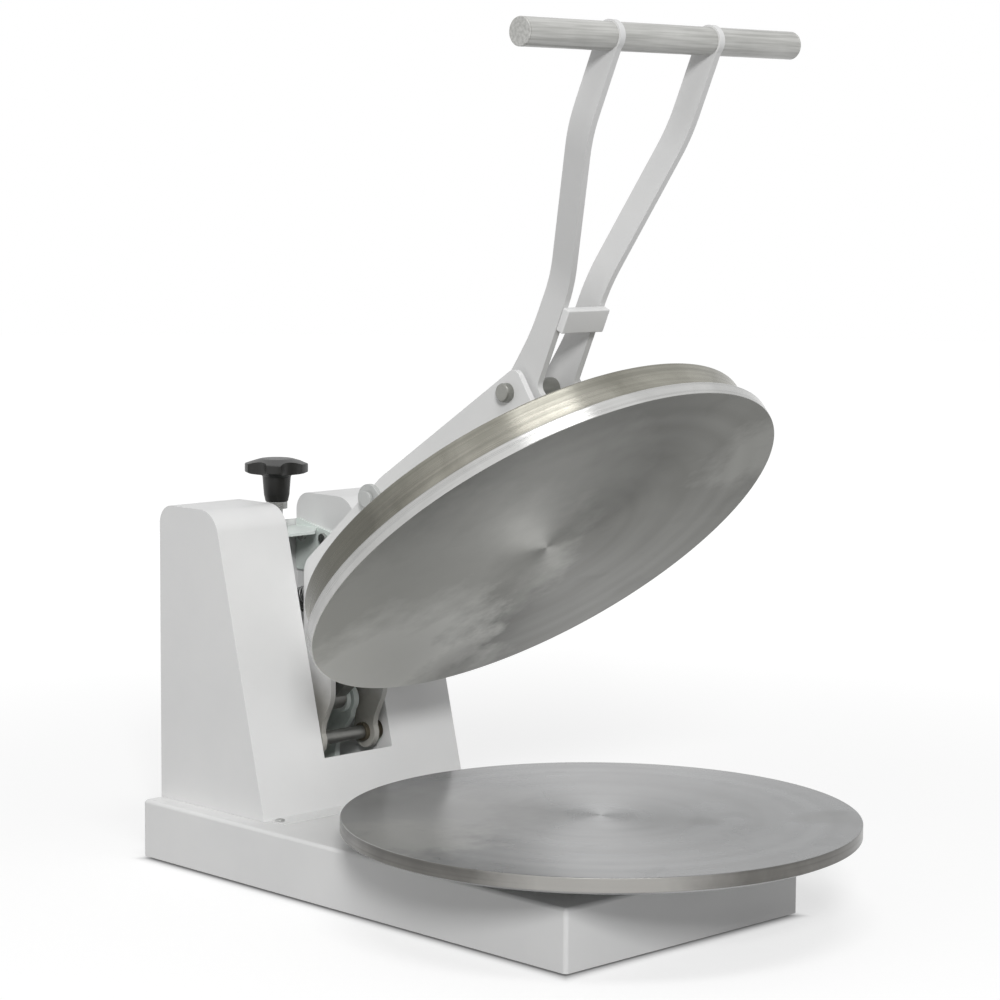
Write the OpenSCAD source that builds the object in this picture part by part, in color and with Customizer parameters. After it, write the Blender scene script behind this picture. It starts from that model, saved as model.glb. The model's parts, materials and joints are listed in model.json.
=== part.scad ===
// Manual pizza dough press, open: a round lower platen on a sheet-metal base, a slotted tower at
// the rear, and a gooseneck arm that swings the upper platen down when the tall handle is pulled
// forward. Millimetres. X is the width, Y runs from the operator to the rear, Z is up.
// The origin is on the floor, under the middle of the overall width and depth.

/* [Platens] */
// Diameter of both platens
platen_d = 457.2; // [430:0.1:480]
// Thickness of the lower platen's rim
lower_rim_t = 12; // [8:0.5:16]
// Width of the bevel under the lower platen's rim
lower_bevel = 3; // [2:0.5:6]
// Height of the lower platen's face above the floor
lower_face_z = 97; // [92:0.5:104]
// Diameter of the step under the lower platen
lower_step_d = 404; // [340:1:410]
// Height of the step under the lower platen
lower_step_h = 5; // [3:0.5:8]
// Diameter of the pedestal that carries the lower platen
pedestal_d = 200; // [160:1:240]
// Gap between the platen faces when the press is shut
press_gap = 3; // [1:0.5:6]
// Thickness of the upper press disc
disc_t = 12; // [9:0.5:16]
// Diameter of the upper platen's backing casting
back_d = 434; // [400:1:436]
// Height of the backing casting above the press disc
back_h = 29; // [20:0.5:34]
// Wall and floor thickness of the backing casting
back_wall = 5; // [4:0.5:8]

/* [Base] */
// Width of the base
base_w = 295; // [280:1:320]
// Depth of the base
base_d = 567; // [540:1:600]
// Height of the base's top above the floor
base_top_z = 58; // [54:0.5:62]
// Radius of the base's edges
base_edge_r = 4; // [2:0.5:8]
// Thickness of the base's sheet
base_sheet = 2; // [1.5:0.1:3]
// How far the lower platen reaches past the base's front
front_overhang = 126; // [100:1:140]
// Gap between the floor and the base's lower edge
foot_gap = 3; // [2:0.5:6]
// Diameter of a rubber foot
foot_d = 30; // [20:1:40]
// Width of the base's inward lip
lip_w = 16; // [12:1:24]

/* [Tower] */
// Width of the tower
tower_w = 254; // [240:1:280]
// Height of the tower's top above the floor
tower_top_z = 341; // [334:0.5:350]
// Gap from the tower's rear face to the base's rear face
tower_rear_gap = 2; // [1:0.5:6]
// Depth of the tower at its foot
tower_foot_d = 154.5; // [145:0.5:165]
// Lean of the tower's front face from the vertical
tower_lean = 14.25; // [10:0.25:16]
// Thickness of the tower's sheet
tower_sheet = 1.5; // [1.2:0.1:2.5]
// Radius of the tower's top front bend
tower_front_r = 26; // [15:1:32]
// Radius of the tower's top rear bend
tower_rear_r = 18; // [10:1:24]
// Width of the slot for the arm
slot_w = 86; // [84:0.5:92]
// Height of the slot's lower edge above the floor
slot_bottom_z = 105; // [100:0.5:108]
// Height of the rear wall in the slot
slot_rear_z = 314; // [300:1:316]
// Depth of the mounting flange at the tower's foot
flange_d = 21; // [16:0.5:26]

/* [Pivot and frame] */
// Distance from the arm's pivot to the base's rear face
pivot_from_rear = 118; // [112:0.5:124]
// Height of the arm's pivot above the floor
pivot_z = 117.6; // [116:0.2:120]
// Diameter of the pivot shaft
shaft_d = 13; // [12:0.5:16]
// Radial wall of the bushes on the pivot shaft
bush_wall = 2.5; // [2:0.25:4]
// Thickness of the frame plates in the tower
frame_t = 6; // [5:0.5:7]
// Radial running clearance of shafts in bushes
run_clear = 0.06; // [0.02:0.01:0.1]
// Radial clearance of fixed pins and bolts in their holes
fit_clear = 0.03; // [0.01:0.01:0.1]
// Side gap between parts that turn against each other
side_gap = 0.3; // [0.2:0.05:0.5]

/* [Arm] */
// How far the arm opens from the shut position
open_angle = 40; // [36:0.5:42]
// Width over the arm's side plates
arm_w = 72; // [70:0.5:74]
// Thickness of the arm's side plates
arm_t = 6; // [5:0.5:7]
// Distance of the handle's pivot ahead of the platen's centre
handle_pivot_ahead = 78.2; // [70:0.2:86]
// Height of the handle's pivot above the upper platen's face
handle_pivot_above = 115; // [112:0.5:120]
// Diameter of the handle's pivot bolt
pivot_bolt_d = 12; // [10:0.5:14]
// Depth of the arm's front end
arm_nose_h = 42; // [40:0.5:48]

/* [Handle] */
// Lean of the open handle towards the operator
handle_lean = 24; // [20:0.5:28]
// Distance from the handle's pivot to the grip
handle_len = 335.6; // [300:0.2:360]
// How far the legs stand ahead of the handle's pivot
leg_offset = 8.4; // [6:0.2:11]
// Width of a handle leg
leg_w = 25.4; // [22:0.2:28]
// Thickness of a handle leg
leg_t = 6.3; // [5:0.1:7]
// Spacing of the legs at the pivot
leg_low_pitch = 45.2; // [44:0.2:46.4]
// Spacing of the legs at the grip
leg_top_pitch = 122.8; // [110:0.2:140]
// Height of the lower bend of the legs above the pivot
leg_bend_low = 111; // [95:1:120]
// Height of the upper bend of the legs above the pivot
leg_bend_top = 252; // [230:1:265]
// Diameter of the grip tube
grip_d = 24.2; // [22:0.2:30]
// Length of the grip tube
grip_len = 330; // [310:1:400]
// Wall of the grip tube
grip_wall = 2; // [1.5:0.1:3]

/* [Linkage] */
// Distance from the handle's pivot to the crank pin
crank_r = 50; // [46:0.5:54]
// Diameter of the crank pin
crank_pin_d = 12; // [10:0.5:13]
// Distance from the arm's pivot to the link's rear pin
anchor_r = 40; // [39:0.5:42]
// Width of the push link
link_w = 16; // [14:0.5:17]
// Depth of the push link
link_h = 22; // [18:0.5:24]
// Throw of the eccentric that carries the link's rear end
ecc_throw = 5; // [4:0.25:6]
// Diameter of the eccentric journal
ecc_d = 12; // [11:0.5:13]
// Diameter of the eccentric shaft's ends
ecc_shaft_d = 14; // [12:0.5:16]

/* [Thickness adjuster] */
// Distance from the knob's axis to the base's rear face
knob_from_rear = 23.2; // [22:0.1:27]
// Diameter of the knob
knob_d = 62; // [50:0.5:66]
// Height of the knob's top above the floor
knob_top_z = 378; // [374:0.5:386]
// Thickness of the knob's head
knob_head_t = 14; // [10:0.5:18]
// Diameter of the knob's hub
knob_hub_d = 28; // [24:0.5:32]
// Diameter of the spindle
spindle_d = 12; // [10:0.5:13]
// Height of the spindle bracket's floor above the base
bracket_rise = 250; // [240:1:254]
// Thickness of the spindle bracket's sheet
bracket_t = 3; // [2.5:0.25:4]

/* [Springs] */
// Wire diameter of the return springs
wire_d = 3; // [2.5:0.1:3.2]
// Outer diameter of the return springs
spring_od = 20; // [18:0.5:20.5]
// Curls of one return spring
spring_curls = 13; // [9:1:14]

/* [Hidden] */
$fn = 64;

paint = [0.93, 0.93, 0.92];
aluminium = [0.72, 0.72, 0.70];
steel = [0.62, 0.64, 0.63];
zinc = [0.55, 0.60, 0.57];
bronze = [0.66, 0.53, 0.32];
black = [0.10, 0.10, 0.11];
rubber = [0.16, 0.16, 0.16];

eps = 0.02;
thru = 400;

// Main stations
knob_overhang = max(0, knob_d / 2 - knob_from_rear);
total_d = front_overhang + base_d + knob_overhang;
base_rear_y = total_d / 2 - knob_overhang;
base_front_y = base_rear_y - base_d;
platen_y = platen_d / 2 - total_d / 2;
pivot_y = base_rear_y - pivot_from_rear;
knob_y = base_rear_y - knob_from_rear;
lower_under_z = lower_face_z - lower_rim_t - lower_bevel;

// Tower stations
tower_rear_y = base_rear_y - tower_rear_gap;
tower_foot_y = tower_rear_y - tower_foot_d;
slot_half = slot_w / 2;
frame_in = slot_half + tower_sheet + 1.5;
frame_out = frame_in + frame_t;
screw_d = 5;

// Arm stations in the arm's own frame: origin at the pivot, press shut
arm_half = arm_w / 2;
arm_in = arm_half - arm_t;
face_z = lower_face_z + press_gap - pivot_z;
back_top_z = face_z + disc_t + back_h;
centre_y = platen_y - pivot_y;
nose_y = centre_y - handle_pivot_ahead;
nose_z = face_z + handle_pivot_above;
neck_front = 27.5;
pivot_boss_wall = 6.5;
pivot_boss_r = shaft_d / 2 + bush_wall + pivot_boss_wall;
neck_rear = pivot_boss_r - 2;
neck_front_low = pivot_boss_r - 2;
neck_waist = 15;
neck_flare = 42;
neck_flare_r = 30;
neck_len = 0.4763 * -centre_y;
bar_under_z = back_top_z + 38;
bar_top_front_z = nose_z + 15;
bar_top_rear_z = nose_z + 40;
lug_y = 0.6305 * centre_y;
lug_z = nose_z + 31;
lug_r = 14;
lug_pin_d = 10;
lug_t = 5;
spring_pin_d = 8;
spring_pin_pos = [0.3057 * centre_y, nose_z + 9.5];
bracket_len = 150;
bracket_leg_h = 36;
bracket_foot_w = 42;
bracket_angle_t = 5;
m8 = 8;
m6 = 6;

// Handle and linkage stations
crank_half = asin(anchor_r * sin(open_angle / 2) / crank_r);
handle_turn = 2 * crank_half;
crank_angle = handle_lean + open_angle + crank_half;
crank_pos = crank_r * [-sin(crank_angle), -cos(crank_angle)];
leg_low_x = leg_low_pitch / 2;
leg_top_x = leg_top_pitch / 2;
anchor = anchor_r * [sin(open_angle / 2), cos(open_angle / 2)];
crank_open = [nose_y - crank_r * sin(crank_half), nose_z - crank_r * cos(crank_half)];
link_reach = -nose_y;
link_drop_ends = anchor_r * cos(open_angle / 2) - crank_open[1];
link_drop_mid = anchor_r - (nose_z - crank_r);
link_drop = (link_drop_ends + link_drop_mid) / 2;
link_slot_play = abs(link_drop_mid - link_drop_ends) / 2 + 0.6;
link_slot_clear = 0.5;

// Adjuster stations
ecc_axis = [pivot_y + anchor[0], pivot_z + anchor[1] - ecc_throw];
lever_len = knob_y - ecc_axis[0];
cheek_in = 16.5;
cheek_t = 6;
lever_in = link_w / 2 + 1.2;
lever_t = 5;
nut_w = 2 * lever_in - 2 * side_gap;
nut_pin_d = 8;
bracket_floor_z = base_top_z + bracket_rise;
hub_bottom_z = knob_top_z - knob_head_t - 28;
spring_rod_pos = [knob_y - 20, pivot_z + 117];
spring_rod_d = 10;
spring_x = 18.5;

// Points of an outline whose corners [u, v, r] are rounded by arcs of radius r
function unit(v) = v / norm(v);
arc_step = 7.5;
arc_chord = 6;
function corner_arc(a, p, b, r) =
    let (
        ua = unit(a - p),
        ub = unit(b - p),
        half = acos(max(-1, min(1, ua * ub))) / 2,
        cut = r / tan(half),
        mid = p + unit(ua + ub) * r / sin(half),
        start = p + ua * cut,
        stop = p + ub * cut,
        a0 = atan2(start[1] - mid[1], start[0] - mid[0]),
        swing = atan2(stop[1] - mid[1], stop[0] - mid[0]) - a0,
        turn = swing > 180 ? swing - 360 : swing < -180 ? swing + 360 : swing,
        steps = max(2, ceil(abs(turn) / arc_step), ceil(abs(turn) * r * PI / 180 / arc_chord))
    )
    [for (i = [0:steps]) mid + r * [cos(a0 + turn * i / steps), sin(a0 + turn * i / steps)]];
function flat2(p) = [p[0], p[1]];
function rounded(points) = [
    for (i = [0:len(points) - 1])
        let (
            n = len(points),
            a = flat2(points[(i + n - 1) % n]),
            p = flat2(points[i]),
            b = flat2(points[(i + 1) % n])
        )
        each points[i][2] > 0 ? corner_arc(a, p, b, points[i][2]) : [p]
];
function spin2(p, a) = [p[0] * cos(a) - p[1] * sin(a), p[0] * sin(a) + p[1] * cos(a)];

// A flat outline in Y and Z, thickened from x0 along X
module plate_x(x0, t) {
    translate([x0, 0, 0]) rotate([90, 0, 90]) linear_extrude(t) children();
}
// The same outline as a mirrored pair of plates
module plate_pair(inner, t) {
    plate_x(inner, t) children();
    plate_x(-inner - t, t) children();
}
// A round bar along X
module bar_x(x0, x1, d) {
    translate([x0, 0, 0]) rotate([0, 90, 0]) cylinder(d = d, h = x1 - x0);
}
// A tube along X
module tube_x(x0, x1, d, bore) {
    difference() {
        bar_x(x0, x1, d);
        bar_x(x0 - 1, x1 + 1, bore);
    }
}
module at(p) {
    translate([0, p[0], p[1]]) children();
}
module in_arm() {
    translate([0, pivot_y, pivot_z]) rotate([-open_angle, 0, 0]) children();
}
module in_handle() {
    in_arm() at([nose_y, nose_z]) rotate([handle_lean + open_angle, 0, 0]) children();
}
// A hexagon head with its shank pointing down, seated at the origin
module hex_bolt(d, length, head_h = 0) {
    h = head_h > 0 ? head_h : 0.65 * d;
    cylinder(d = 1.9 * d, h = h, $fn = 6);
    translate([0, 0, -length]) cylinder(d = d, h = length + eps);
}
// A low round screw head with its shank pointing down
module pan_screw(d, length) {
    difference() {
        rotate_extrude() {
            intersection() {
                translate([0, -1.2 * d]) circle(r = 1.7 * d);
                square([0.95 * d, d]);
            }
        }
        translate([0, 0, 0.25 * d]) cylinder(d = 0.5 * d, h = d, $fn = 6);
    }
    translate([0, 0, -length]) cylinder(d = d, h = length + eps);
}
module corners(dx, dy) {
    for (sx = [-1, 1], sy = [-1, 1]) translate([sx * dx, sy * dy, 0]) children();
}
module along_sides() {
    children();
    mirror([1, 0, 0]) children();
}

// Base
module rounded_box(w, d, z0, z1, r) {
    hull() {
        for (sx = [-1, 1], sy = [-1, 1]) translate([sx * (w / 2 - r), sy * (d / 2 - r), 0]) {
            translate([0, 0, z1 - r]) sphere(r = r, $fn = 32);
            translate([0, 0, z0]) cylinder(r = r, h = 1, $fn = 32);
        }
    }
}
base_mid_y = (base_front_y + base_rear_y) / 2;
plate_z = foot_gap + base_sheet;
pedestal_bolt_r = pedestal_d / 2 - 22;
foot_x = base_w / 2 - lip_w - foot_d / 2 - 6;
foot_y = base_d / 2 - lip_w - foot_d / 2 - 6;
lip_screw_x = base_w / 2 - lip_w / 2 - 1;
lip_screw_y = base_d / 2 - 60;
flange_screw_x = tower_w / 2 - 11;
flange_screw_y = tower_foot_y - flange_d * 0.45;
frame_foot_w = 30;
frame_foot_y = [pivot_y - 30, pivot_y + 60];
anchor_foot_y = [pivot_y + 30, pivot_y + 74];
anchor_bolt_y = [pivot_y + 42, pivot_y + 64];

module pedestal_bolt_places() {
    for (a = [45:90:315]) {
        translate([pedestal_bolt_r * cos(a), platen_y + pedestal_bolt_r * sin(a), 0]) children();
    }
}
module tower_screw_places() {
    for (sx = [-1, 1]) translate([sx * flange_screw_x, flange_screw_y, 0]) children();
}
module frame_bolt_places() {
    for (sx = [-1, 1], y = [frame_foot_y[0] + 16, frame_foot_y[1] - 16]) {
        translate([sx * (frame_out + frame_foot_w / 2 + 3), y, 0]) children();
    }
}
module anchor_bolt_places() {
    for (y = anchor_bolt_y) translate([0, y, 0]) children();
}
module lip_screw_places() {
    translate([0, base_mid_y, 0]) corners(lip_screw_x, lip_screw_y) children();
}
module foot_places() {
    translate([0, base_mid_y, 0]) corners(foot_x, foot_y) children();
}

module base_tray() {
    color(paint) difference() {
        translate([0, base_mid_y, 0]) rounded_box(base_w, base_d, foot_gap, base_top_z, base_edge_r);
        difference() {
            translate([-base_w / 2 + base_sheet, base_front_y + base_sheet, foot_gap - 1])
                cube([
                    base_w - 2 * base_sheet, base_d - 2 * base_sheet, base_top_z - base_sheet - foot_gap + 1
                ]);
            difference() {
                translate([-base_w / 2, base_front_y, foot_gap - 2]) cube([base_w, base_d, base_sheet + 2]);
                translate([-base_w / 2 + lip_w, base_front_y + lip_w, foot_gap - 3])
                    cube([base_w - 2 * lip_w, base_d - 2 * lip_w, base_sheet + 4]);
            }
        }
        pedestal_bolt_places() cylinder(d = m8 + 2 * fit_clear, h = thru, center = true);
        tower_screw_places() cylinder(d = screw_d + 2 * fit_clear, h = thru, center = true);
        frame_bolt_places() cylinder(d = m8 + 2 * fit_clear, h = thru, center = true);
        anchor_bolt_places() cylinder(d = m8 + 2 * fit_clear, h = thru, center = true);
        lip_screw_places() cylinder(d = screw_d + 2 * fit_clear, h = 4 * plate_z, center = true);
    }
}
module base_bottom_plate() {
    slack = 1;
    color(zinc) difference() {
        translate([-base_w / 2 + base_sheet + slack, base_front_y + base_sheet + slack, plate_z])
            cube([base_w - 2 * base_sheet - 2 * slack, base_d - 2 * base_sheet - 2 * slack, base_sheet]);
        lip_screw_places() cylinder(d = screw_d + 2 * fit_clear, h = 4 * plate_z, center = true);
        foot_places() cylinder(d = screw_d + 2 * fit_clear, h = 4 * plate_z, center = true);
    }
}
module rubber_feet() {
    recess = 0.35 * plate_z;
    color(rubber) foot_places() difference() {
        rotate_extrude() polygon(rounded([
            [0, 0, 0], [foot_d / 2 - 1, 0, 0.8], [foot_d / 2, plate_z, 0], [0, plate_z, 0]
        ]));
        cylinder(d = screw_d + 2 * fit_clear, h = thru, center = true);
        translate([0, 0, -1]) cylinder(d = 2.2 * screw_d, h = recess + 1);
    }
}
module feet_screws() {
    recess = 0.35 * plate_z;
    head_t = 1;
    color(steel) foot_places() {
        translate([0, 0, recess - head_t]) cylinder(d = 1.9 * screw_d, h = head_t);
        translate([0, 0, recess - eps]) cylinder(d = screw_d, h = plate_z + base_sheet + 5 - recess);
        translate([0, 0, plate_z + base_sheet]) cylinder(d = 1.8 * screw_d, h = 4, $fn = 6);
    }
}
module lip_screws() {
    head_t = 1.6;
    color(steel) lip_screw_places() {
        translate([0, 0, foot_gap - head_t]) cylinder(d = 1.8 * screw_d, h = head_t);
        translate([0, 0, foot_gap - eps]) cylinder(d = screw_d, h = 2 * base_sheet + 4);
        translate([0, 0, plate_z + base_sheet]) cylinder(d = 1.8 * screw_d, h = 3, $fn = 6);
    }
}

// Lower platen
module platen_pedestal() {
    wall = 8;
    flange = 40;
    h = lower_under_z - lower_step_h - base_top_z;
    color(aluminium) translate([0, platen_y, base_top_z]) difference() {
        rotate_extrude() polygon(rounded([
            [pedestal_d / 2 - flange, 0, 0], [pedestal_d / 2, 0, 0], [pedestal_d / 2, h, 0],
            [pedestal_d / 2 - flange, h, 0], [pedestal_d / 2 - flange, h - wall, 0],
            [pedestal_d / 2 - wall, h - wall, 2], [pedestal_d / 2 - wall, wall, 2],
            [pedestal_d / 2 - flange, wall, 0]
        ]));
        translate([0, -platen_y, -base_top_z]) pedestal_bolt_places()
            cylinder(d = m8 + 2 * fit_clear, h = thru, center = true);
    }
}
bolt_bite = 12;
module pedestal_bolts() {
    under = base_top_z - base_sheet;
    color(steel) pedestal_bolt_places() {
        translate([0, 0, under]) mirror([0, 0, 1]) cylinder(d = 1.9 * m8, h = 0.65 * m8, $fn = 6);
        translate([0, 0, under - eps]) cylinder(d = m8, h = lower_under_z - under + bolt_bite - 4);
    }
}
module lower_platen() {
    r = platen_d / 2;
    color(aluminium) difference() {
        translate([0, platen_y, 0]) rotate_extrude($fn = 128) polygon([
            [0, lower_under_z - lower_step_h], [lower_step_d / 2, lower_under_z - lower_step_h],
            [lower_step_d / 2, lower_under_z], [r - 2.2 * lower_bevel, lower_under_z],
            [r, lower_under_z + lower_bevel], [r, lower_face_z - 1], [r - 1, lower_face_z], [0, lower_face_z]
        ]);
        pedestal_bolt_places() translate([0, 0, lower_under_z - lower_step_h - 1])
            cylinder(d = m8 + 2 * fit_clear, h = bolt_bite + 2);
    }
}

// Tower
function tower_front(z) = tower_foot_y + (z - base_top_z) * tan(tower_lean);
function tower_profile(inset, z0) = let (
        top = tower_top_z - inset,
        push = inset / cos(tower_lean)
    ) rounded([
        [tower_front(z0) + push, z0, 0],
        [tower_rear_y - inset, z0, 0],
        [tower_rear_y - inset, top, tower_rear_r - inset],
        [tower_front(top) + push, top, tower_front_r - inset]
    ]);
module tower_shell() {
    side = tower_w / 2;
    cavity_w = side - slot_half - 2 * tower_sheet;
    bore_d = ring_d + 6;
    color(paint) difference() {
        union() {
            plate_x(-side, tower_w) polygon(tower_profile(0, base_top_z));
            translate([-side + 6, tower_foot_y - flange_d, base_top_z])
                cube([tower_w - 12, flange_d + 4, tower_sheet]);
        }
        along_sides() plate_x(slot_half + tower_sheet, cavity_w)
            polygon(tower_profile(tower_sheet, base_top_z - 1));
        intersection() {
            plate_x(-slot_half, slot_w) polygon(tower_profile(tower_sheet, base_top_z - 1));
            translate([-slot_half, 0, 0]) cube([slot_w, total_d, slot_bottom_z + 1]);
        }
        translate([-slot_half, -total_d, slot_bottom_z])
            cube([slot_w, total_d + tower_rear_y - tower_sheet, tower_top_z]);
        translate([-slot_half, 0, slot_rear_z]) cube([slot_w, total_d, tower_top_z]);
        tower_screw_places() cylinder(d = screw_d + 2 * fit_clear, h = thru, center = true);
        at([pivot_y, pivot_z]) bar_x(-frame_in, frame_in, bore_d);
        at(spring_rod_pos) bar_x(-frame_in, frame_in, spring_rod_d + 2 * fit_clear);
        bracket_bolt_places() bar_x(-frame_in, frame_in, m6 + 2 * fit_clear);
    }
}
module tower_screws() {
    color(steel) tower_screw_places() translate([0, 0, base_top_z + tower_sheet])
        pan_screw(screw_d, tower_sheet + base_sheet + 8);
}

// Frame in the tower
ring_d = shaft_d + 7;
frame_front_gap = 2.5;
function frame_front(z) = tower_front(z) + tower_sheet / cos(tower_lean) + frame_front_gap;
module frame_plate() {
    foot_t = 6;
    top_z = pivot_z + 28;
    union() {
        plate_x(frame_in, frame_t) difference() {
            polygon(rounded([
                [frame_front(base_top_z), base_top_z, 0], [frame_foot_y[1], base_top_z, 0],
                [pivot_y + 34, pivot_z + 10, 12], [pivot_y + 22, top_z, 14],
                [frame_front(top_z), top_z, 10]
            ]));
            translate([pivot_y, pivot_z]) circle(d = shaft_d + 2 * fit_clear);
        }
        difference() {
            translate([frame_out - eps, frame_foot_y[0], base_top_z])
                cube([frame_foot_w, frame_foot_y[1] - frame_foot_y[0], foot_t]);
            frame_bolt_places() cylinder(d = m8 + 2 * fit_clear, h = thru, center = true);
        }
    }
}
module frame_plate_left() {
    color(zinc) mirror([1, 0, 0]) frame_plate();
}
module frame_plate_right() {
    color(zinc) frame_plate();
}
module frame_bolts() {
    color(steel) frame_bolt_places() {
        translate([0, 0, base_top_z + 6]) hex_bolt(m8, 6 + base_sheet + 8);
        translate([0, 0, base_top_z - base_sheet - 6]) cylinder(d = 1.9 * m8, h = 6, $fn = 6);
    }
}
shaft_end = frame_out + 5;
module pivot_shaft() {
    color(steel) at([pivot_y, pivot_z]) difference() {
        bar_x(-shaft_end, shaft_end, shaft_d);
        along_sides() tube_x(frame_out + 0.5, frame_out + 1.8, shaft_d + 1, shaft_d - 2);
    }
}
module shaft_rings() {
    color(black) at([pivot_y, pivot_z]) along_sides()
        tube_x(frame_out + 0.6, frame_out + 1.7, shaft_d + 5, shaft_d - 1.8);
}
module shaft_spacers() {
    color(bronze) at([pivot_y, pivot_z]) along_sides()
        tube_x(arm_half + side_gap, frame_in - eps, ring_d, shaft_d + 2 * fit_clear);
}

// Anchor bracket for the push link
module anchor_bracket() {
    foot_t = 6;
    boss_r = ecc_shaft_d / 2 + 8;
    clear_r = shaft_d / 2 + 1.5;
    ax = ecc_axis[0];
    az = ecc_axis[1];
    cheek_out = cheek_in + cheek_t;
    color(zinc) difference() {
        union() {
            plate_pair(cheek_in, cheek_t) difference() {
                union() {
                    translate([ax, az]) circle(r = boss_r);
                    polygon(rounded([
                        [anchor_foot_y[0], base_top_z, 0], [anchor_foot_y[1], base_top_z, 0],
                        [anchor_foot_y[1], base_top_z + 16, 8], [ax + boss_r, az, 10],
                        [ax, az + 2, 0], [ax - boss_r + 1, az, 0], [ax - boss_r + 6, az - 18, 8],
                        [anchor_foot_y[0] - 4, pivot_z - 14, 12]
                    ]));
                }
                translate([pivot_y, pivot_z]) circle(r = clear_r);
                translate([ax, az]) circle(d = ecc_shaft_d + 2 * run_clear);
            }
            translate([-cheek_in - eps, anchor_foot_y[0], base_top_z])
                cube([2 * cheek_in + 2 * eps, anchor_foot_y[1] - anchor_foot_y[0], foot_t]);
        }
        anchor_bolt_places() cylinder(d = m8 + 2 * fit_clear, h = thru, center = true);
    }
}
module anchor_bolts() {
    color(steel) anchor_bolt_places() {
        translate([0, 0, base_top_z + 6]) hex_bolt(m8, 6 + base_sheet + 8);
        translate([0, 0, base_top_z - base_sheet - 6]) cylinder(d = 1.9 * m8, h = 6, $fn = 6);
    }
}

// Return springs between the arm's neck and a rod across the tower
rod_end = slot_half + tower_sheet + 8;
module spring_rod() {
    color(steel) at(spring_rod_pos) bar_x(-rod_end, rod_end, spring_rod_d);
}
module spring_rod_nuts() {
    color(steel) at(spring_rod_pos) along_sides() difference() {
        translate([slot_half + tower_sheet, 0, 0]) rotate([0, 90, 0])
            cylinder(d = 1.8 * spring_rod_d, h = 7, $fn = 6);
        bar_x(0, thru, spring_rod_d + 2 * fit_clear);
    }
}
coil_r = (spring_od - wire_d) / 2;
spring_front = [pivot_y, pivot_z] + spin2(spring_pin_pos, -open_angle);
spring_run = spring_rod_pos - spring_front;
spring_dir = unit(spring_run);
spring_side = [-spring_dir[1], spring_dir[0]];
front_loop_r = spring_pin_d / 2 + wire_d / 2 + 0.4;
rear_loop_r = spring_rod_d / 2 + wire_d / 2 + 0.4;
lead = 5;
coil_start = front_loop_r + lead;
coil_run = norm(spring_run) - coil_start - rear_loop_r - lead;
rings_per_curl = 8;
loop_rings = 10;
loop_sweep = 290;
// Points of one spring in its own axes: along the spring, up from it, and across it
function loop_point(centre_u, r, a) = [centre_u + r * cos(a), r * sin(a), 0];
function coil_point(k) = let (
        f = k / (spring_curls * rings_per_curl),
        taper = min(1, min(f, 1 - f) * spring_curls),
        a = 360 * k / rings_per_curl
    ) [coil_start + coil_run * f, coil_r * taper * sin(a), -coil_r * taper * cos(a)];
spring_path = concat(
    [for (i = [0:loop_rings]) loop_point(0, front_loop_r, 360 - loop_sweep + loop_sweep * i / loop_rings)],
    [for (k = [0:spring_curls * rings_per_curl]) coil_point(k)],
    [for (i = [0:loop_rings])
        loop_point(norm(spring_run), rear_loop_r, 180 + loop_sweep * i / loop_rings)]
);
function spring_world(p, x) = let (
        q = spring_front + spring_dir * p[0] + spring_side * p[1]
    ) [x + p[2], q[0], q[1]];
function path_step(pts, i) = unit(pts[min(i + 1, len(pts) - 1)] - pts[max(i - 1, 0)]);
wire_sides = 6;
// Ring corners are matched by turning each ring to lie nearest the one before it
function carry(pts, i, prev) = i >= len(pts) ? [] :
    let (
        t = path_step(pts, i),
        a = unit(prev - t * (prev * t)),
        b = cross(t, a)
    ) concat(
        [for (s = [0:wire_sides - 1])
            pts[i] + wire_d / 2 * (cos(360 * s / wire_sides) * a + sin(360 * s / wire_sides) * b)],
        carry(pts, i + 1, a)
    );
module wire(pts) {
    n = len(pts);
    t0 = path_step(pts, 0);
    first = unit(cross(t0, [0.31, 0.52, 0.79]));
    skin = [for (i = [0:n - 2], s = [0:wire_sides - 1]) let (
            a = i * wire_sides + s,
            b = i * wire_sides + (s + 1) % wire_sides
        ) each [[a, b, b + wire_sides], [a, b + wire_sides, a + wire_sides]]];
    cap0 = [for (s = [1:wire_sides - 2]) [0, s + 1, s]];
    last = (n - 1) * wire_sides;
    cap1 = [for (s = [1:wire_sides - 2]) [last, last + s, last + s + 1]];
    polyhedron(
        points = carry(pts, 0, first),
        faces = [for (f = concat(skin, cap0, cap1)) [f[0], f[2], f[1]]]
    );
}
module return_springs() {
    color(steel) for (x = [-spring_x, spring_x]) {
        wire([for (p = spring_path) spring_world(p, x)]);
    }
}
// Least gap of the wire to itself, from path points at least one curl apart
spring_gaps = [for (i = [0:len(spring_path) - 1], j = [i + rings_per_curl - 2:1:len(spring_path) - 1])
    if (j - i <= 3 * rings_per_curl) norm(spring_path[i] - spring_path[j])];
echo(spring_self_gap = min(spring_gaps) - wire_d);

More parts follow.
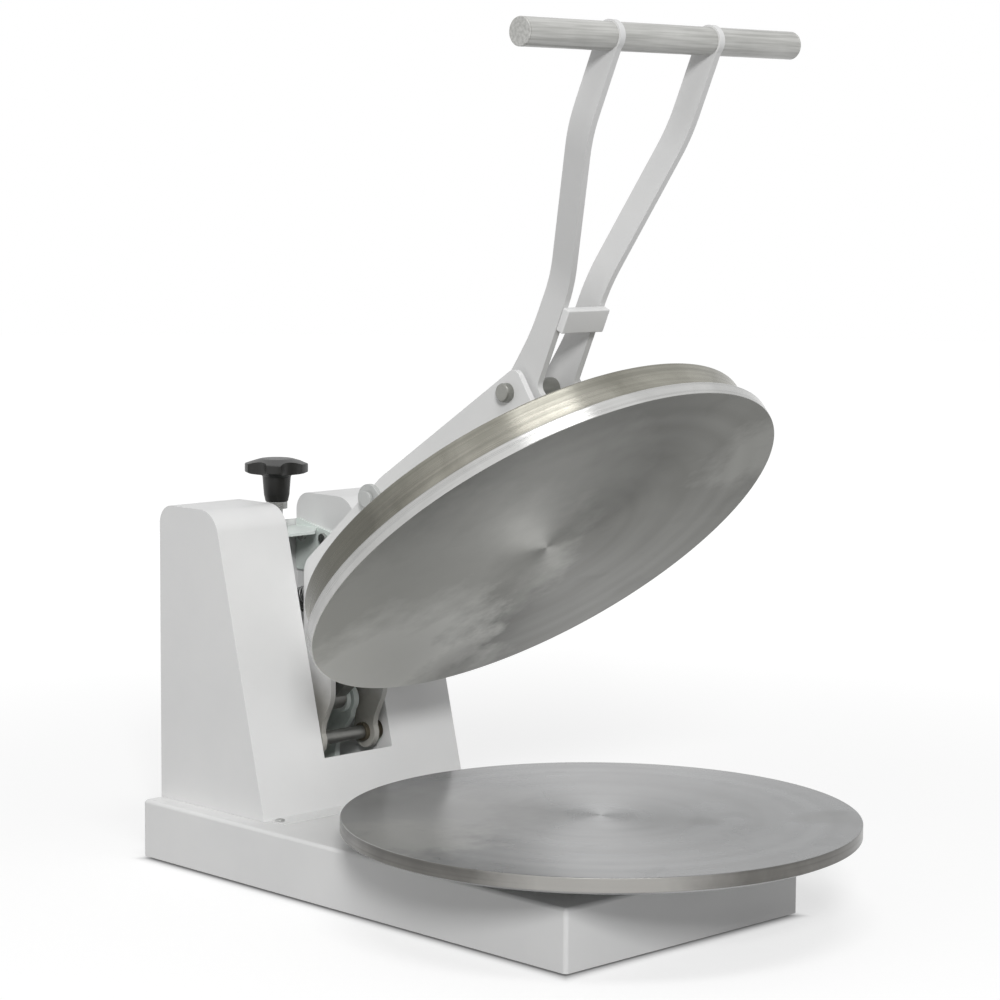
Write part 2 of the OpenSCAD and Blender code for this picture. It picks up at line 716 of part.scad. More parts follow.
// Spindle bracket across the top of the slot
bracket_half = slot_half - 0.05;
bracket_y1 = tower_rear_y - tower_sheet - 1.5;
bracket_y0 = bracket_y1 - 56;
bracket_side_h = 44;
bracket_low_z = bracket_floor_z - bracket_side_h;
module bracket_bolt_places() {
    for (y = [bracket_y0 + 13, bracket_y1 - 11]) at([y, bracket_floor_z - 9.5]) children();
}
module spindle_bracket() {
    nose_half = 20;
    nose_len = 4;
    color(zinc) difference() {
        union() {
            translate([0, 0, bracket_floor_z - bracket_t]) linear_extrude(bracket_t) polygon([
                [-bracket_half, bracket_y1], [-bracket_half, bracket_y0 + 28],
                [-nose_half, bracket_y0 + nose_len], [nose_half, bracket_y0 + nose_len],
                [bracket_half, bracket_y0 + 28], [bracket_half, bracket_y1]
            ]);
            plate_pair(bracket_half - bracket_t, bracket_t) polygon(rounded([
                [bracket_y0, bracket_low_z, 3], [bracket_y1, bracket_low_z, 3],
                [bracket_y1, bracket_floor_z + 8, 3], [bracket_y0, bracket_floor_z - 4, 3]
            ]));
        }
        translate([0, knob_y, 0]) cylinder(d = spindle_d + 2 * run_clear, h = 4 * thru, center = true);
        bracket_bolt_places() bar_x(-frame_in, frame_in, m6 + 2 * fit_clear);
    }
}
module bracket_bolts() {
    color(steel) bracket_bolt_places() along_sides() {
        translate([bracket_half - bracket_t - 4, 0, 0]) rotate([0, 90, 0])
            cylinder(d = 1.8 * m6, h = 4, $fn = 6);
        bar_x(bracket_half - bracket_t - eps, slot_half + tower_sheet + 6, m6);
        translate([slot_half + tower_sheet, 0, 0]) rotate([0, 90, 0]) cylinder(d = 1.8 * m6, h = 5, $fn = 6);
    }
}

// Thickness adjuster
module adjuster_knob() {
    r = knob_d / 2;
    hub_r = knob_hub_d / 2;
    lobes = 5;
    hollow_r = 0.52 * r;
    hollow_depth = 0.25 * r;
    lobe_turn = 225;
    under = knob_top_z - knob_head_t;
    color(black) translate([0, knob_y, 0]) difference() {
        rotate_extrude() polygon(rounded([
            [0, hub_bottom_z, 0], [hub_r - 3, hub_bottom_z, 1], [hub_r - 1.5, hub_bottom_z + 7, 1],
            [hub_r, under - 2, 3], [r - 3, under, 1.5], [r, under + 1.5, 1], [r, knob_top_z - 4.5, 1.5],
            [0.5 * r, knob_top_z, 12], [0, knob_top_z, 0]
        ]));
        for (i = [0:lobes - 1]) rotate(lobe_turn + 360 * (i + 0.5) / lobes)
            translate([r + hollow_r - hollow_depth, 0, under - 3]) cylinder(r = hollow_r, h = knob_head_t + 4);
        translate([0, 0, hub_bottom_z - 1]) cylinder(d = spindle_d + 2 * fit_clear, h = 21);
    }
}
spindle_low_z = ecc_axis[1] - 22;
module adjuster_spindle() {
    color(steel) translate([0, knob_y, spindle_low_z])
        cylinder(d = spindle_d, h = hub_bottom_z + 19 - spindle_low_z);
}
module spindle_collars() {
    collar_d = spindle_d + 9;
    collar_h = 7;
    color(steel) translate([0, knob_y, 0]) {
        for (z = [bracket_floor_z + side_gap, bracket_floor_z - bracket_t - side_gap - collar_h,
                hub_bottom_z - collar_h]) {
            translate([0, 0, z]) difference() {
                cylinder(d = collar_d, h = collar_h);
                cylinder(d = spindle_d + 2 * fit_clear, h = thru, center = true);
            }
        }
    }
}
module adjuster_nut() {
    nut_d = spindle_d + 10;
    color(bronze) at([knob_y, ecc_axis[1]]) difference() {
        union() {
            translate([-nut_w / 2, -nut_d / 2, -12]) cube([nut_w, nut_d, 24]);
            bar_x(-lever_in - lever_t, lever_in + lever_t, nut_pin_d);
        }
        cylinder(d = spindle_d + 2 * run_clear, h = thru, center = true);
    }
}
module eccentric_shaft() {
    reach = cheek_in + cheek_t + 2;
    color(steel) at(ecc_axis) {
        along_sides() bar_x(link_w / 2 + side_gap + 0.4, reach, ecc_shaft_d);
        at([0, ecc_throw]) bar_x(-link_w / 2 - 1, link_w / 2 + 1, ecc_d);
    }
}
fork_play = 1.2;
lever_bolt_y = 46;
module adjuster_lever() {
    hub_r = ecc_shaft_d / 2 + 6;
    end_r = nut_pin_d / 2 + 6;
    color(zinc) at(ecc_axis) difference() {
        plate_pair(lever_in, lever_t) difference() {
            union() {
                circle(r = hub_r);
                translate([lever_len, 0]) circle(r = end_r);
                polygon([[0, -hub_r], [lever_len, -end_r], [lever_len, end_r], [0, hub_r]]);
            }
            circle(d = ecc_shaft_d + 2 * fit_clear);
            for (s = [-1, 1]) translate([lever_len + s * fork_play, 0]) circle(d = nut_pin_d + 2 * side_gap);
            translate([lever_len - fork_play, -nut_pin_d / 2 - side_gap])
                square([2 * fork_play, nut_pin_d + 2 * side_gap]);
            translate([lever_bolt_y, 0]) circle(d = m6 + 2 * fit_clear);
        }
    }
}
module lever_stud() {
    outer = lever_in + lever_t;
    color(steel) at(ecc_axis) at([lever_bolt_y, 0]) {
        bar_x(-outer - 4, outer + 4, m6);
        along_sides() translate([outer, 0, 0]) rotate([0, 90, 0]) cylinder(d = 1.8 * m6, h = 4, $fn = 6);
        tube_x(-lever_in, lever_in, m6 + 6, m6 - 1);
    }
}

// Arm
function neck_point(across, along) = spin2([across, along], open_angle);
pivot_bush_d = shaft_d + 2 * bush_wall;
module arm_outline() {
    nose_front = nose_y - 22;
    nose_under = bar_top_front_z - arm_nose_h;
    rear_top_y = neck_point(12, neck_len)[0] - 3;
    tab_front = centre_y - bracket_len / 2;
    flare = neck_point(-neck_front, neck_flare);
    waist = neck_point(-neck_front_low, neck_waist);
    front_low = neck_point(-neck_front_low, 0);
    rear_low = neck_point(neck_rear, 0);
    front_foot = neck_point(-neck_front, 0);
    under_meet = front_foot[0] - (bar_under_z - front_foot[1]) * tan(open_angle);
    polygon(rounded([
        [nose_front, bar_top_front_z - 3, 9],
        [nose_front + 4, nose_under, 16],
        [tab_front - 8, back_top_z + 30, 10],
        [tab_front - 4, back_top_z + 2, 5],
        [centre_y + bracket_len / 2, back_top_z + 2, 5],
        [centre_y + bracket_len / 2 + 10, bar_under_z, 14],
        [under_meet, bar_under_z, 22],
        [flare[0], flare[1], neck_flare_r],
        [waist[0], waist[1], neck_flare_r],
        [front_low[0], front_low[1], 0],
        [rear_low[0], rear_low[1], 0],
        [rear_top_y, bar_top_rear_z, 20],
        [lug_y - 22, bar_top_rear_z - 0.5, 30]
    ]));
    circle(r = pivot_boss_r);
}
module arm_plate(x0) {
    plate_x(x0, arm_t) difference() {
        arm_outline();
        circle(d = pivot_bush_d + 2 * fit_clear);
        translate([nose_y, nose_z]) circle(d = pivot_bolt_d + 2 * fit_clear);
        translate(spring_pin_pos) circle(d = spring_pin_d + 2 * fit_clear);
        translate([lug_y, lug_z]) circle(d = lug_pin_d + 2 * fit_clear);
        for (y = bracket_bolt_ys) translate([y, bracket_bolt_z]) circle(d = m8 + 2 * fit_clear);
    }
}
bracket_bolt_ys = [centre_y - bracket_len / 2 + 25, centre_y + bracket_len / 2 - 25];
bracket_bolt_z = back_top_z + 23;
module arm_plate_left() {
    color(paint) in_arm() arm_plate(-arm_half);
}
module arm_plate_right() {
    color(paint) in_arm() arm_plate(arm_in);
}
module arm_bushes() {
    color(bronze) in_arm() along_sides()
        tube_x(arm_in - 4, arm_half, pivot_bush_d, shaft_d + 2 * run_clear);
}
module arm_top_web() {
    web_t = 5;
    web_drop = 4;
    y0 = 0.5727 * centre_y;
    y1 = 0.3548 * centre_y;
    color(paint) in_arm() translate([-arm_in, y0, bar_top_rear_z - web_drop - web_t])
        cube([2 * arm_in, y1 - y0, web_t]);
}
module arm_lugs() {
    color(zinc) in_arm() plate_pair(arm_half, lug_t) difference() {
        union() {
            translate([lug_y, lug_z]) circle(r = lug_r);
            polygon([
                [lug_y - lug_r, lug_z], [lug_y - lug_r - 6, lug_z - 30],
                [lug_y + lug_r + 4, lug_z - 30], [lug_y + lug_r, lug_z]
            ]);
        }
        translate([lug_y, lug_z]) circle(d = lug_pin_d + 2 * fit_clear);
    }
}
module lug_pin() {
    head_t = 4;
    color(steel) in_arm() at([lug_y, lug_z]) {
        bar_x(-arm_half - lug_t - head_t, arm_half + lug_t + head_t, lug_pin_d);
        along_sides() bar_x(arm_half + lug_t, arm_half + lug_t + head_t, 1.5 * lug_pin_d);
    }
}
module spring_pin() {
    head_t = 2.5;
    color(steel) in_arm() at(spring_pin_pos) {
        bar_x(-arm_half - head_t, arm_half + head_t, spring_pin_d);
        along_sides() bar_x(arm_half, arm_half + head_t, 1.6 * spring_pin_d);
    }
}
platen_bolt_x = arm_half + bracket_angle_t + 20;
module platen_bracket() {
    difference() {
        union() {
            translate([arm_half, centre_y - bracket_len / 2, back_top_z])
                cube([bracket_angle_t, bracket_len, bracket_leg_h]);
            translate([arm_half, centre_y - bracket_len / 2, back_top_z])
                cube([bracket_foot_w, bracket_len, bracket_angle_t]);
        }
        for (y = bracket_bolt_ys) at([y, bracket_bolt_z]) bar_x(0, thru, m8 + 2 * fit_clear);
        for (y = bracket_bolt_ys) translate([platen_bolt_x, y, 0])
            cylinder(d = m8 + 2 * fit_clear, h = thru, center = true);
    }
}
module platen_bracket_left() {
    color(zinc) in_arm() mirror([1, 0, 0]) platen_bracket();
}
module platen_bracket_right() {
    color(zinc) in_arm() platen_bracket();
}
module bracket_arm_bolts() {
    out = arm_half + bracket_angle_t;
    color(steel) in_arm() for (y = bracket_bolt_ys) at([y, bracket_bolt_z]) along_sides() {
        translate([out, 0, 0]) rotate([0, 90, 0]) hex_bolt(m8, bracket_angle_t + arm_t - eps);
    }
}
module bracket_platen_bolts() {
    color(steel) in_arm() for (y = bracket_bolt_ys) along_sides()
        translate([platen_bolt_x, y, back_top_z + bracket_angle_t]) hex_bolt(m8, bracket_angle_t + 14);
}
disc_screw_n = 8;
disc_screw_r = back_d / 2 - 20;
module disc_screw_places() {
    for (i = [0:disc_screw_n - 1]) {
        a = 360 * (i + 0.5) / disc_screw_n;
        translate([disc_screw_r * cos(a), centre_y + disc_screw_r * sin(a), 0]) children();
    }
}
module platen_back() {
    r = back_d / 2;
    foot_z = face_z + disc_t;
    rib_r = 70;
    color(aluminium) in_arm() difference() {
        translate([0, centre_y, 0]) rotate_extrude($fn = 128) polygon(rounded([
            [0, back_top_z - back_wall - 9, 0], [rib_r + 24, back_top_z - back_wall - 9, 4],
            [rib_r + 30, back_top_z - back_wall, 4], [r - 34, back_top_z - back_wall, 4],
            [r - 30, foot_z, 0], [r, foot_z, 0], [r, back_top_z, 2], [0, back_top_z, 0]
        ]));
        for (y = bracket_bolt_ys) along_sides() translate([platen_bolt_x, y, back_top_z - 14.5])
            cylinder(d = m8 + 2 * fit_clear, h = 20);
        disc_screw_places() cylinder(d = m6 + 2 * fit_clear, h = thru, center = true);
    }
}
module press_disc() {
    r = platen_d / 2;
    color(aluminium) in_arm() difference() {
        translate([0, centre_y, 0]) rotate_extrude($fn = 128) polygon([
            [0, face_z], [r - 0.8, face_z], [r, face_z + 0.8], [r, face_z + disc_t - 1.5],
            [r - 1.5, face_z + disc_t], [0, face_z + disc_t]
        ]);
        disc_screw_places() translate([0, 0, face_z + disc_t - 9]) cylinder(d = m6 + 2 * fit_clear, h = 20);
    }
}
module disc_screws() {
    color(steel) in_arm() disc_screw_places() translate([0, 0, back_top_z]) hex_bolt(m6, back_h + 8, 4);
}

// Handle
module handle_pivot_bolt() {
    head_t = 8;
    head_r = 0.7 * pivot_bolt_d;
    color(steel) in_arm() at([nose_y, nose_z]) {
        bar_x(-arm_half - eps, arm_half + 12, pivot_bolt_d);
        translate([-arm_half, 0, 0]) rotate([0, -90, 0]) rotate_extrude() polygon(rounded([
            [0, 0, 0], [head_r, 0, 0], [head_r, head_t, 2.5], [0, head_t, 0]
        ]));
    }
}
module handle_pivot_nut() {
    color(steel) in_arm() at([nose_y, nose_z]) difference() {
        translate([arm_half, 0, 0]) rotate([0, 90, 0]) cylinder(d = 1.8 * pivot_bolt_d, h = 10, $fn = 6);
        bar_x(0, thru, pivot_bolt_d + 2 * fit_clear);
    }
}
leg_out = leg_low_x + leg_t / 2;
leg_in = leg_low_x - leg_t / 2;
module pivot_washers() {
    color(steel) in_arm() at([nose_y, nose_z]) along_sides()
        tube_x(leg_out + side_gap, arm_in, 2 * pivot_bolt_d, pivot_bolt_d + 2 * fit_clear);
}
leg_bush_d = pivot_bolt_d + 2 * bush_wall;
grip_pos = [-leg_offset, handle_len];
eye_wall = 1.8;
module leg_side() {
    front = -leg_offset - leg_w / 2;
    rear = -leg_offset + leg_w / 2;
    boss_r = leg_bush_d / 2 + 8;
    crank_boss_r = crank_pin_d / 2 + 7;
    top_r = grip_d / 2 + eye_wall;
    inside = 0.4;
    translate(grip_pos) circle(r = top_r);
    circle(r = boss_r);
    translate(crank_pos) circle(r = crank_boss_r);
    polygon(rounded([
        [front, handle_len, 0], [front, 15, 8],
        [crank_pos[0] - 5, crank_pos[1] + crank_boss_r - 1.5, 0],
        [crank_pos[0], crank_pos[1] - crank_boss_r + inside, 0], [0, -boss_r + inside, 0],
        [boss_r - 2, 8, 0], [rear + 1, 56, 220], [rear, leg_bend_low, 0], [rear, handle_len, 0]
    ]));
}
module leg_strip() {
    half = leg_t / 2;
    bend_r = 140;
    inside_r = bend_r - half;
    outside_r = bend_r + half;
    rotate([90, 0, 0]) linear_extrude(thru, center = true) polygon(rounded([
        [leg_low_x - half, -80, 0], [leg_low_x + half, -80, 0],
        [leg_low_x + half, leg_bend_low, inside_r], [leg_top_x + half, leg_bend_top, outside_r],
        [leg_top_x + half, handle_len + 60, 0], [leg_top_x - half, handle_len + 60, 0],
        [leg_top_x - half, leg_bend_top, inside_r], [leg_low_x - half, leg_bend_low, outside_r]
    ]));
}
module handle_leg() {
    intersection() {
        leg_strip();
        plate_x(0, thru) difference() {
            leg_side();
            translate(grip_pos) circle(d = grip_d + 2 * fit_clear);
            circle(d = leg_bush_d + 2 * fit_clear);
            translate(crank_pos) circle(d = crank_pin_d + 2 * fit_clear);
        }
    }
}
module handle_leg_left() {
    color(paint) in_handle() mirror([1, 0, 0]) handle_leg();
}
module handle_leg_right() {
    color(paint) in_handle() handle_leg();
}
module leg_bushes() {
    color(bronze) in_handle() along_sides()
        tube_x(leg_in, leg_out, leg_bush_d, pivot_bolt_d + 2 * run_clear);
}
module leg_spacer() {
    color(black) in_handle() tube_x(-leg_in, leg_in, leg_bush_d + 5, pivot_bolt_d + 2 * side_gap);
}
module crank_pin() {
    head_t = 2;
    color(steel) in_handle() at(crank_pos) {
        bar_x(-leg_out - head_t, leg_out + head_t, crank_pin_d);
        along_sides() bar_x(leg_out, leg_out + head_t, crank_pin_d + 5);
    }
}
module cross_plate() {
    front = -leg_offset - leg_w / 2;
    cross_t = 8;
    low = 71;
    high = 93;
    color(paint) in_handle() translate([-leg_out, front - cross_t, low])
        cube([2 * leg_out, cross_t, high - low]);
}
module grip_tube() {
    color(steel) in_handle() at(grip_pos)
        tube_x(-grip_len / 2, grip_len / 2, grip_d, grip_d - 2 * grip_wall);
}
module grip_caps() {
    cap_t = 2;
    plug = 14;
    color(steel) in_handle() at(grip_pos) along_sides() {
        bar_x(grip_len / 2, grip_len / 2 + cap_t, grip_d);
        bar_x(grip_len / 2 - plug, grip_len / 2 + eps, grip_d - 2 * grip_wall - 2 * fit_clear);
    }
}

// Push link from the crank pin to the eccentric
link_bush_d = crank_pin_d + 2 * bush_wall;
module push_link() {
    front_r = link_bush_d / 2 + 5;
    rear_r = ecc_d / 2 + link_slot_clear + 7;
    half = link_h / 2;
    slot_d = ecc_d + 2 * link_slot_clear;
    rear = [link_reach, link_drop];
    color(steel) in_arm() at(crank_open) plate_x(-link_w / 2, link_w) difference() {
        union() {
            circle(r = front_r);
            polygon([[0, -half], [rear[0], rear[1] - half], [rear[0], rear[1] + half], [0, half]]);
            for (s = [-1, 1]) translate(rear + [0, s * link_slot_play]) circle(r = rear_r);
            translate(rear - [rear_r, link_slot_play]) square([2 * rear_r, 2 * link_slot_play]);
        }
        circle(d = link_bush_d + 2 * fit_clear);
        for (s = [-1, 1]) translate(rear + [0, s * link_slot_play]) circle(d = slot_d);
        translate(rear - [slot_d / 2, link_slot_play]) square([slot_d, 2 * link_slot_play]);
    }
}
module link_bush() {
    color(bronze) in_arm() at(crank_open)
        tube_x(-link_w / 2, link_w / 2, link_bush_d, crank_pin_d + 2 * run_clear);
}

base_tray();
base_bottom_plate();
rubber_feet();
feet_screws();
lip_screws();
platen_pedestal();
pedestal_bolts();
lower_platen();
tower_shell();
tower_screws();
frame_plate_left();
frame_plate_right();
frame_bolts();
pivot_shaft();
shaft_rings();
shaft_spacers();
anchor_bracket();
anchor_bolts();
spring_rod();
spring_rod_nuts();
return_springs();
spindle_bracket();
bracket_bolts();
adjuster_knob();
adjuster_spindle();
spindle_collars();
adjuster_nut();
eccentric_shaft();
adjuster_lever();
lever_stud();
arm_plate_left();
arm_plate_right();
arm_bushes();
arm_top_web();
arm_lugs();
lug_pin();
spring_pin();
platen_bracket_left();
platen_bracket_right();
bracket_arm_bolts();
bracket_platen_bolts();
platen_back();
press_disc();
disc_screws();
handle_pivot_bolt();
handle_pivot_nut();
pivot_washers();
handle_leg_left();
handle_leg_right();
leg_bushes();
leg_spacer();
crank_pin();
cross_plate();
grip_tube();
grip_caps();
push_link();
link_bush();
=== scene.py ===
import json
import math
from collections import namedtuple

import bmesh
import bpy
from mathutils import Matrix, Vector


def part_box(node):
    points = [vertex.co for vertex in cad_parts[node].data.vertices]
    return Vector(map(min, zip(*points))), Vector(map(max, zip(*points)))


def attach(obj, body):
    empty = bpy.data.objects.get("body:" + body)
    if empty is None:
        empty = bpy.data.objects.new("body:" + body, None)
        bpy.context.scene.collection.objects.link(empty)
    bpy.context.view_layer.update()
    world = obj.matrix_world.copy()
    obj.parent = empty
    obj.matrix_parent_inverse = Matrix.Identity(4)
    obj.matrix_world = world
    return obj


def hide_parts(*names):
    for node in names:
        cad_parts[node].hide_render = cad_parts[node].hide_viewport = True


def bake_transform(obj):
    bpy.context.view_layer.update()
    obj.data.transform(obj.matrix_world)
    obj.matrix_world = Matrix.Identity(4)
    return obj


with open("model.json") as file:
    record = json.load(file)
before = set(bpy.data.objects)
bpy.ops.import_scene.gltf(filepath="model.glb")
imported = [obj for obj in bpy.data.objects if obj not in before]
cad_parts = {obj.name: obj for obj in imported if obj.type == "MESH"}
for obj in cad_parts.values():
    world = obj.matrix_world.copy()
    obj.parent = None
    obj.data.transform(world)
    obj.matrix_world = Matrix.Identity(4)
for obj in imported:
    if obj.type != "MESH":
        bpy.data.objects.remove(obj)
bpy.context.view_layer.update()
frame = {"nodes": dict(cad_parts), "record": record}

MM = 0.001

# Camera, fitted to the photograph: angles in radians, place in metres
CAMERA_YAW, CAMERA_PITCH, CAMERA_ROLL = 0.7734784, 0.1133636, 0.0066810
CAMERA_EYE = Vector((-1.80228, -1.83840, 0.65762))
LENS_MM = 104.04
SENSOR_MM = 36
CLIP_END = 50

# Stations of the CAD model, in millimetres
PIVOT_Y, PIVOT_Z = 224.6, 117.6
OPEN_ANGLE = 40.0
PLATEN_Y = -121.8
PLATEN_R = 228.6
LOWER_FACE_Z = 97.0
LOWER_UNDER_Z = 82.0
LOWER_STEP_R, LOWER_STEP_H = 202.0, 5.0
LOWER_CHAMFER_W, LOWER_CHAMFER_H = 6.6, 3.0
CENTRE_Y = PLATEN_Y - PIVOT_Y
FACE_Z = -17.6
DISC_T = 12.0
BACK_R = 217.0
BACK_H = 29.0

# Rings that divide a turned face, and the casting's hollow under its top, in millimetres
INNER_RING, OUTER_RING = 75.0, 150.0
HUB_R, HUB_FOOT_R, HUB_T = 94.0, 100.0, 14.0
BACK_SKIN = 5.0
RIM_TOP_W, RIM_FOOT_W = 34.0, 30.0
SEAT_GAP = 0.05
SEAT_INSET = 2.0
DISC_SIDES = 256

# A turned disc's faces have normals steeper than this along its axis, and the rest is its rim. The rim takes
# a tone of its own: lighter than the face on the press disc, which is painted light, and darker than the face
# on the lower platen, which is painted shade.
FACE_SLOPE = 0.7

# Return springs: hook centres in the open pose and sizes of the wire, in millimetres
SPRING_FRONT = Vector((0, 212.2, 267.6))
SPRING_REAR = Vector((0, 299.4, 234.6))
SPRING_X = 18.5
WIRE_R = 1.5
COIL_R = 8.5
CURLS = 13
FRONT_LOOP_R, REAR_LOOP_R = 5.9, 6.9
FRONT_LOOP_FROM, REAR_LOOP_FROM, LOOP_SWEEP = 70, 180, 290
LEAD = 5.0
POINTS_PER_CURL = 28
POINTS_PER_LOOP = 30
WIRE_SIDES = 12

# Rounding of the CAD copies
WELD = 3e-6
FLAT_ANGLE = math.radians(0.4)
SHARP_ANGLE = math.radians(33)
ROUND_SEGMENTS = 2

# Worn edges: how far a rounded normal leans from the face's own, as cosines
OPEN_COSINE, EDGE_COSINE = 0.99, 0.8

# Where a stain or a spot of painted light or shade ends and where it is full, as shares of its reach
PATCH_END, PATCH_FULL = 1.15, 0.55

# Floor and sky, in metres and strengths
FLOOR_R = 9.0
FLOOR_SIDES = 96
FLOOR_COLOUR = (0.45, 0.45, 0.45, 1)
WHITE = (1, 1, 1, 1)
GLOW_FROM, GLOW_TO = 0.5, 2.2
GLOW_NEAR, GLOW_FAR = 0.62, 0.84
CONTACT_SOFT = 0.012
SKY_LIGHT = 0.37
SKY_SEEN = 1.0

IN_ARM = Matrix.Translation((0, PIVOT_Y * MM, PIVOT_Z * MM)) @ Matrix.Rotation(
    math.radians(-OPEN_ANGLE), 4, "X"
)

scene = bpy.context.scene
scene.view_settings.view_transform = "Standard"
nodes = frame["nodes"]
body_of_node = {n: b for b, members in frame["record"]["behaviour"]["bodies"].items() for n in members}


# Camera at the photograph's viewing angle
def place_camera():
    yaw, pitch, roll, eye = CAMERA_YAW, CAMERA_PITCH, CAMERA_ROLL, CAMERA_EYE
    ahead = Vector((
        math.sin(yaw) * math.cos(pitch),
        math.cos(yaw) * math.cos(pitch),
        -math.sin(pitch),
    ))
    right = Vector((math.cos(yaw), -math.sin(yaw), 0))
    up = right.cross(ahead)
    across = math.cos(roll) * right + math.sin(roll) * up
    upward = math.cos(roll) * up - math.sin(roll) * right
    data = bpy.data.cameras.new("photo_camera")
    data.lens = LENS_MM
    data.sensor_width = SENSOR_MM
    data.clip_end = CLIP_END
    camera = bpy.data.objects.new("photo_camera", data)
    camera.matrix_world = Matrix((
        (across.x, upward.x, -ahead.x, eye.x),
        (across.y, upward.y, -ahead.y, eye.y),
        (across.z, upward.z, -ahead.z, eye.z),
        (0, 0, 0, 1),
    ))
    scene.collection.objects.link(camera)
    scene.camera = camera


# Node trees
class Tree:
    """A node tree with short ways to add and join nodes."""

    def __init__(self, tree):
        self.tree = tree

    def add(self, kind, **settings):
        node = self.tree.nodes.new(kind)
        for name, value in settings.items():
            setattr(node, name, value)
        return node

    def join(self, source, target):
        self.tree.links.new(source, target)

    def range(self, value, low, high, to_low=0.0, to_high=1.0, curve="LINEAR"):
        node = self.add("ShaderNodeMapRange", interpolation_type=curve)
        for name, number in zip(
            ("From Min", "From Max", "To Min", "To Max"), (low, high, to_low, to_high)
        ):
            node.inputs[name].default_value = number
        self.join(value, node.inputs["Value"])
        return node.outputs["Result"]

    def math(self, operation, a, b=None):
        node = self.add("ShaderNodeMath", operation=operation)
        for socket, value in zip(node.inputs, (a, b)):
            if isinstance(value, (int, float)):
                socket.default_value = value
            elif value is not None:
                self.join(value, socket)
        return node.outputs["Value"]

    def distance(self, vector):
        node = self.add("ShaderNodeVectorMath", operation="LENGTH")
        self.join(vector, node.inputs[0])
        return node.outputs["Value"]

    def shader(self, kind, colour, strength=None):
        node = self.add(kind)
        node.inputs["Color"].default_value = colour
        if strength is not None:
            node.inputs["Strength"].default_value = strength
        return node

    def split(self, lit, seen, out):
        """Lights the object by one shader, and shows another directly, in reflections and through glass."""
        path = self.add("ShaderNodeLightPath")
        straight = path.outputs["Is Camera Ray"]
        for name in ("Is Glossy Ray", "Is Transmission Ray"):
            straight = self.math("MAXIMUM", straight, path.outputs[name])
        mix = self.add("ShaderNodeMixShader")
        self.join(straight, mix.inputs[0])
        self.join(lit.outputs[0], mix.inputs[1])
        self.join(seen.outputs[0], mix.inputs[2])
        self.join(mix.outputs[0], out.inputs["Surface"])


class Shader(Tree):
    """A surface material with the patterns that its finish is made of."""

    def __init__(self, name):
        self.material = bpy.data.materials.new(name)
        self.material.use_nodes = True
        super().__init__(self.material.node_tree)
        self.bsdf = self.tree.nodes["Principled BSDF"]
        self.place = self.add("ShaderNodeTexCoord").outputs["Object"]

    def stretched(self, scale):
        mapping = self.add("ShaderNodeMapping")
        mapping.inputs["Scale"].default_value = scale
        self.join(self.place, mapping.inputs["Vector"])
        return mapping.outputs["Vector"]

    def noise(self, scale, detail, rough=0.55, distortion=0.0, vector=None):
        node = self.add("ShaderNodeTexNoise")
        node.inputs["Scale"].default_value = scale
        node.inputs["Detail"].default_value = detail
        node.inputs["Roughness"].default_value = rough
        node.inputs["Distortion"].default_value = distortion
        self.join(vector or self.place, node.inputs["Vector"])
        return node.outputs["Fac"]

    def mix(self, factor, a, b):
        node = self.add("ShaderNodeMix", data_type="RGBA")
        self.join(factor, node.inputs["Factor"])
        for socket, value in ((node.inputs[6], a), (node.inputs[7], b)):
            if isinstance(value, tuple):
                socket.default_value = (*value, 1)
            else:
                self.join(value, socket)
        return node.outputs[2]

    def bump(self, height, strength, distance):
        node = self.add("ShaderNodeBump")
        node.inputs["Strength"].default_value = strength
        node.inputs["Distance"].default_value = distance
        self.join(height, node.inputs["Height"])
        return node.outputs["Normal"]

    def edges(self, radius):
        """About 0 on open faces, rising to 1 where a face turns into the next within radius."""
        bevel = self.add("ShaderNodeBevel", samples=4)
        bevel.inputs["Radius"].default_value = radius
        geometry = self.add("ShaderNodeNewGeometry")
        dot = self.add("ShaderNodeVectorMath", operation="DOT_PRODUCT")
        self.join(bevel.outputs["Normal"], dot.inputs[0])
        self.join(geometry.outputs["Normal"], dot.inputs[1])
        return self.range(dot.outputs["Value"], OPEN_COSINE, EDGE_COSINE)

    def rings(self, scale):
        """Noise that changes only with the distance from the object's Z axis."""
        flat = self.add("ShaderNodeVectorMath", operation="MULTIPLY")
        flat.inputs[1].default_value = (1, 1, 0)
        self.join(self.place, flat.inputs[0])
        node = self.add("ShaderNodeTexNoise", noise_dimensions="1D")
        node.inputs["Scale"].default_value = scale
        node.inputs["Detail"].default_value = 1.0
        self.join(self.distance(flat.outputs["Vector"]), node.inputs["W"])
        return node.outputs["Fac"]

    def patch(self, centre, reach, ragged):
        """1 within reach of a point of the object, falling off raggedly to 0."""
        offset = self.add("ShaderNodeVectorMath", operation="SUBTRACT")
        offset.inputs[1].default_value = centre
        self.join(self.place, offset.inputs[0])
        away = self.math("DIVIDE", self.distance(offset.outputs["Vector"]), reach)
        noise = self.noise(scale=26.0, detail=4.0, rough=0.62)
        torn = self.math("MULTIPLY", self.math("SUBTRACT", noise, 0.5), ragged)
        return self.range(self.math("ADD", away, torn), PATCH_END, PATCH_FULL)

    def covered(self, tone, stains_and_light):
        for spot in stains_and_light:
            cover = self.math("MULTIPLY", self.patch(spot.centre, spot.reach, spot.ragged), spot.strength)
            tone = self.mix(cover, tone, spot.colour)
        return tone

    def turn(self):
        """Runs the shine around the object's Z axis, as a lathe's cut does."""
        tangent = self.add("ShaderNodeTangent", direction_type="RADIAL", axis="Z")
        self.join(tangent.outputs["Tangent"], self.bsdf.inputs["Tangent"])

    def finish(self, colour, rough, normal, **constants):
        for socket, value in (("Base Color", colour), ("Roughness", rough), ("Normal", normal)):
            self.join(value, self.bsdf.inputs[socket])
        for name, value in constants.items():
            self.bsdf.inputs[name.replace("_", " ")].default_value = value
        return self.material


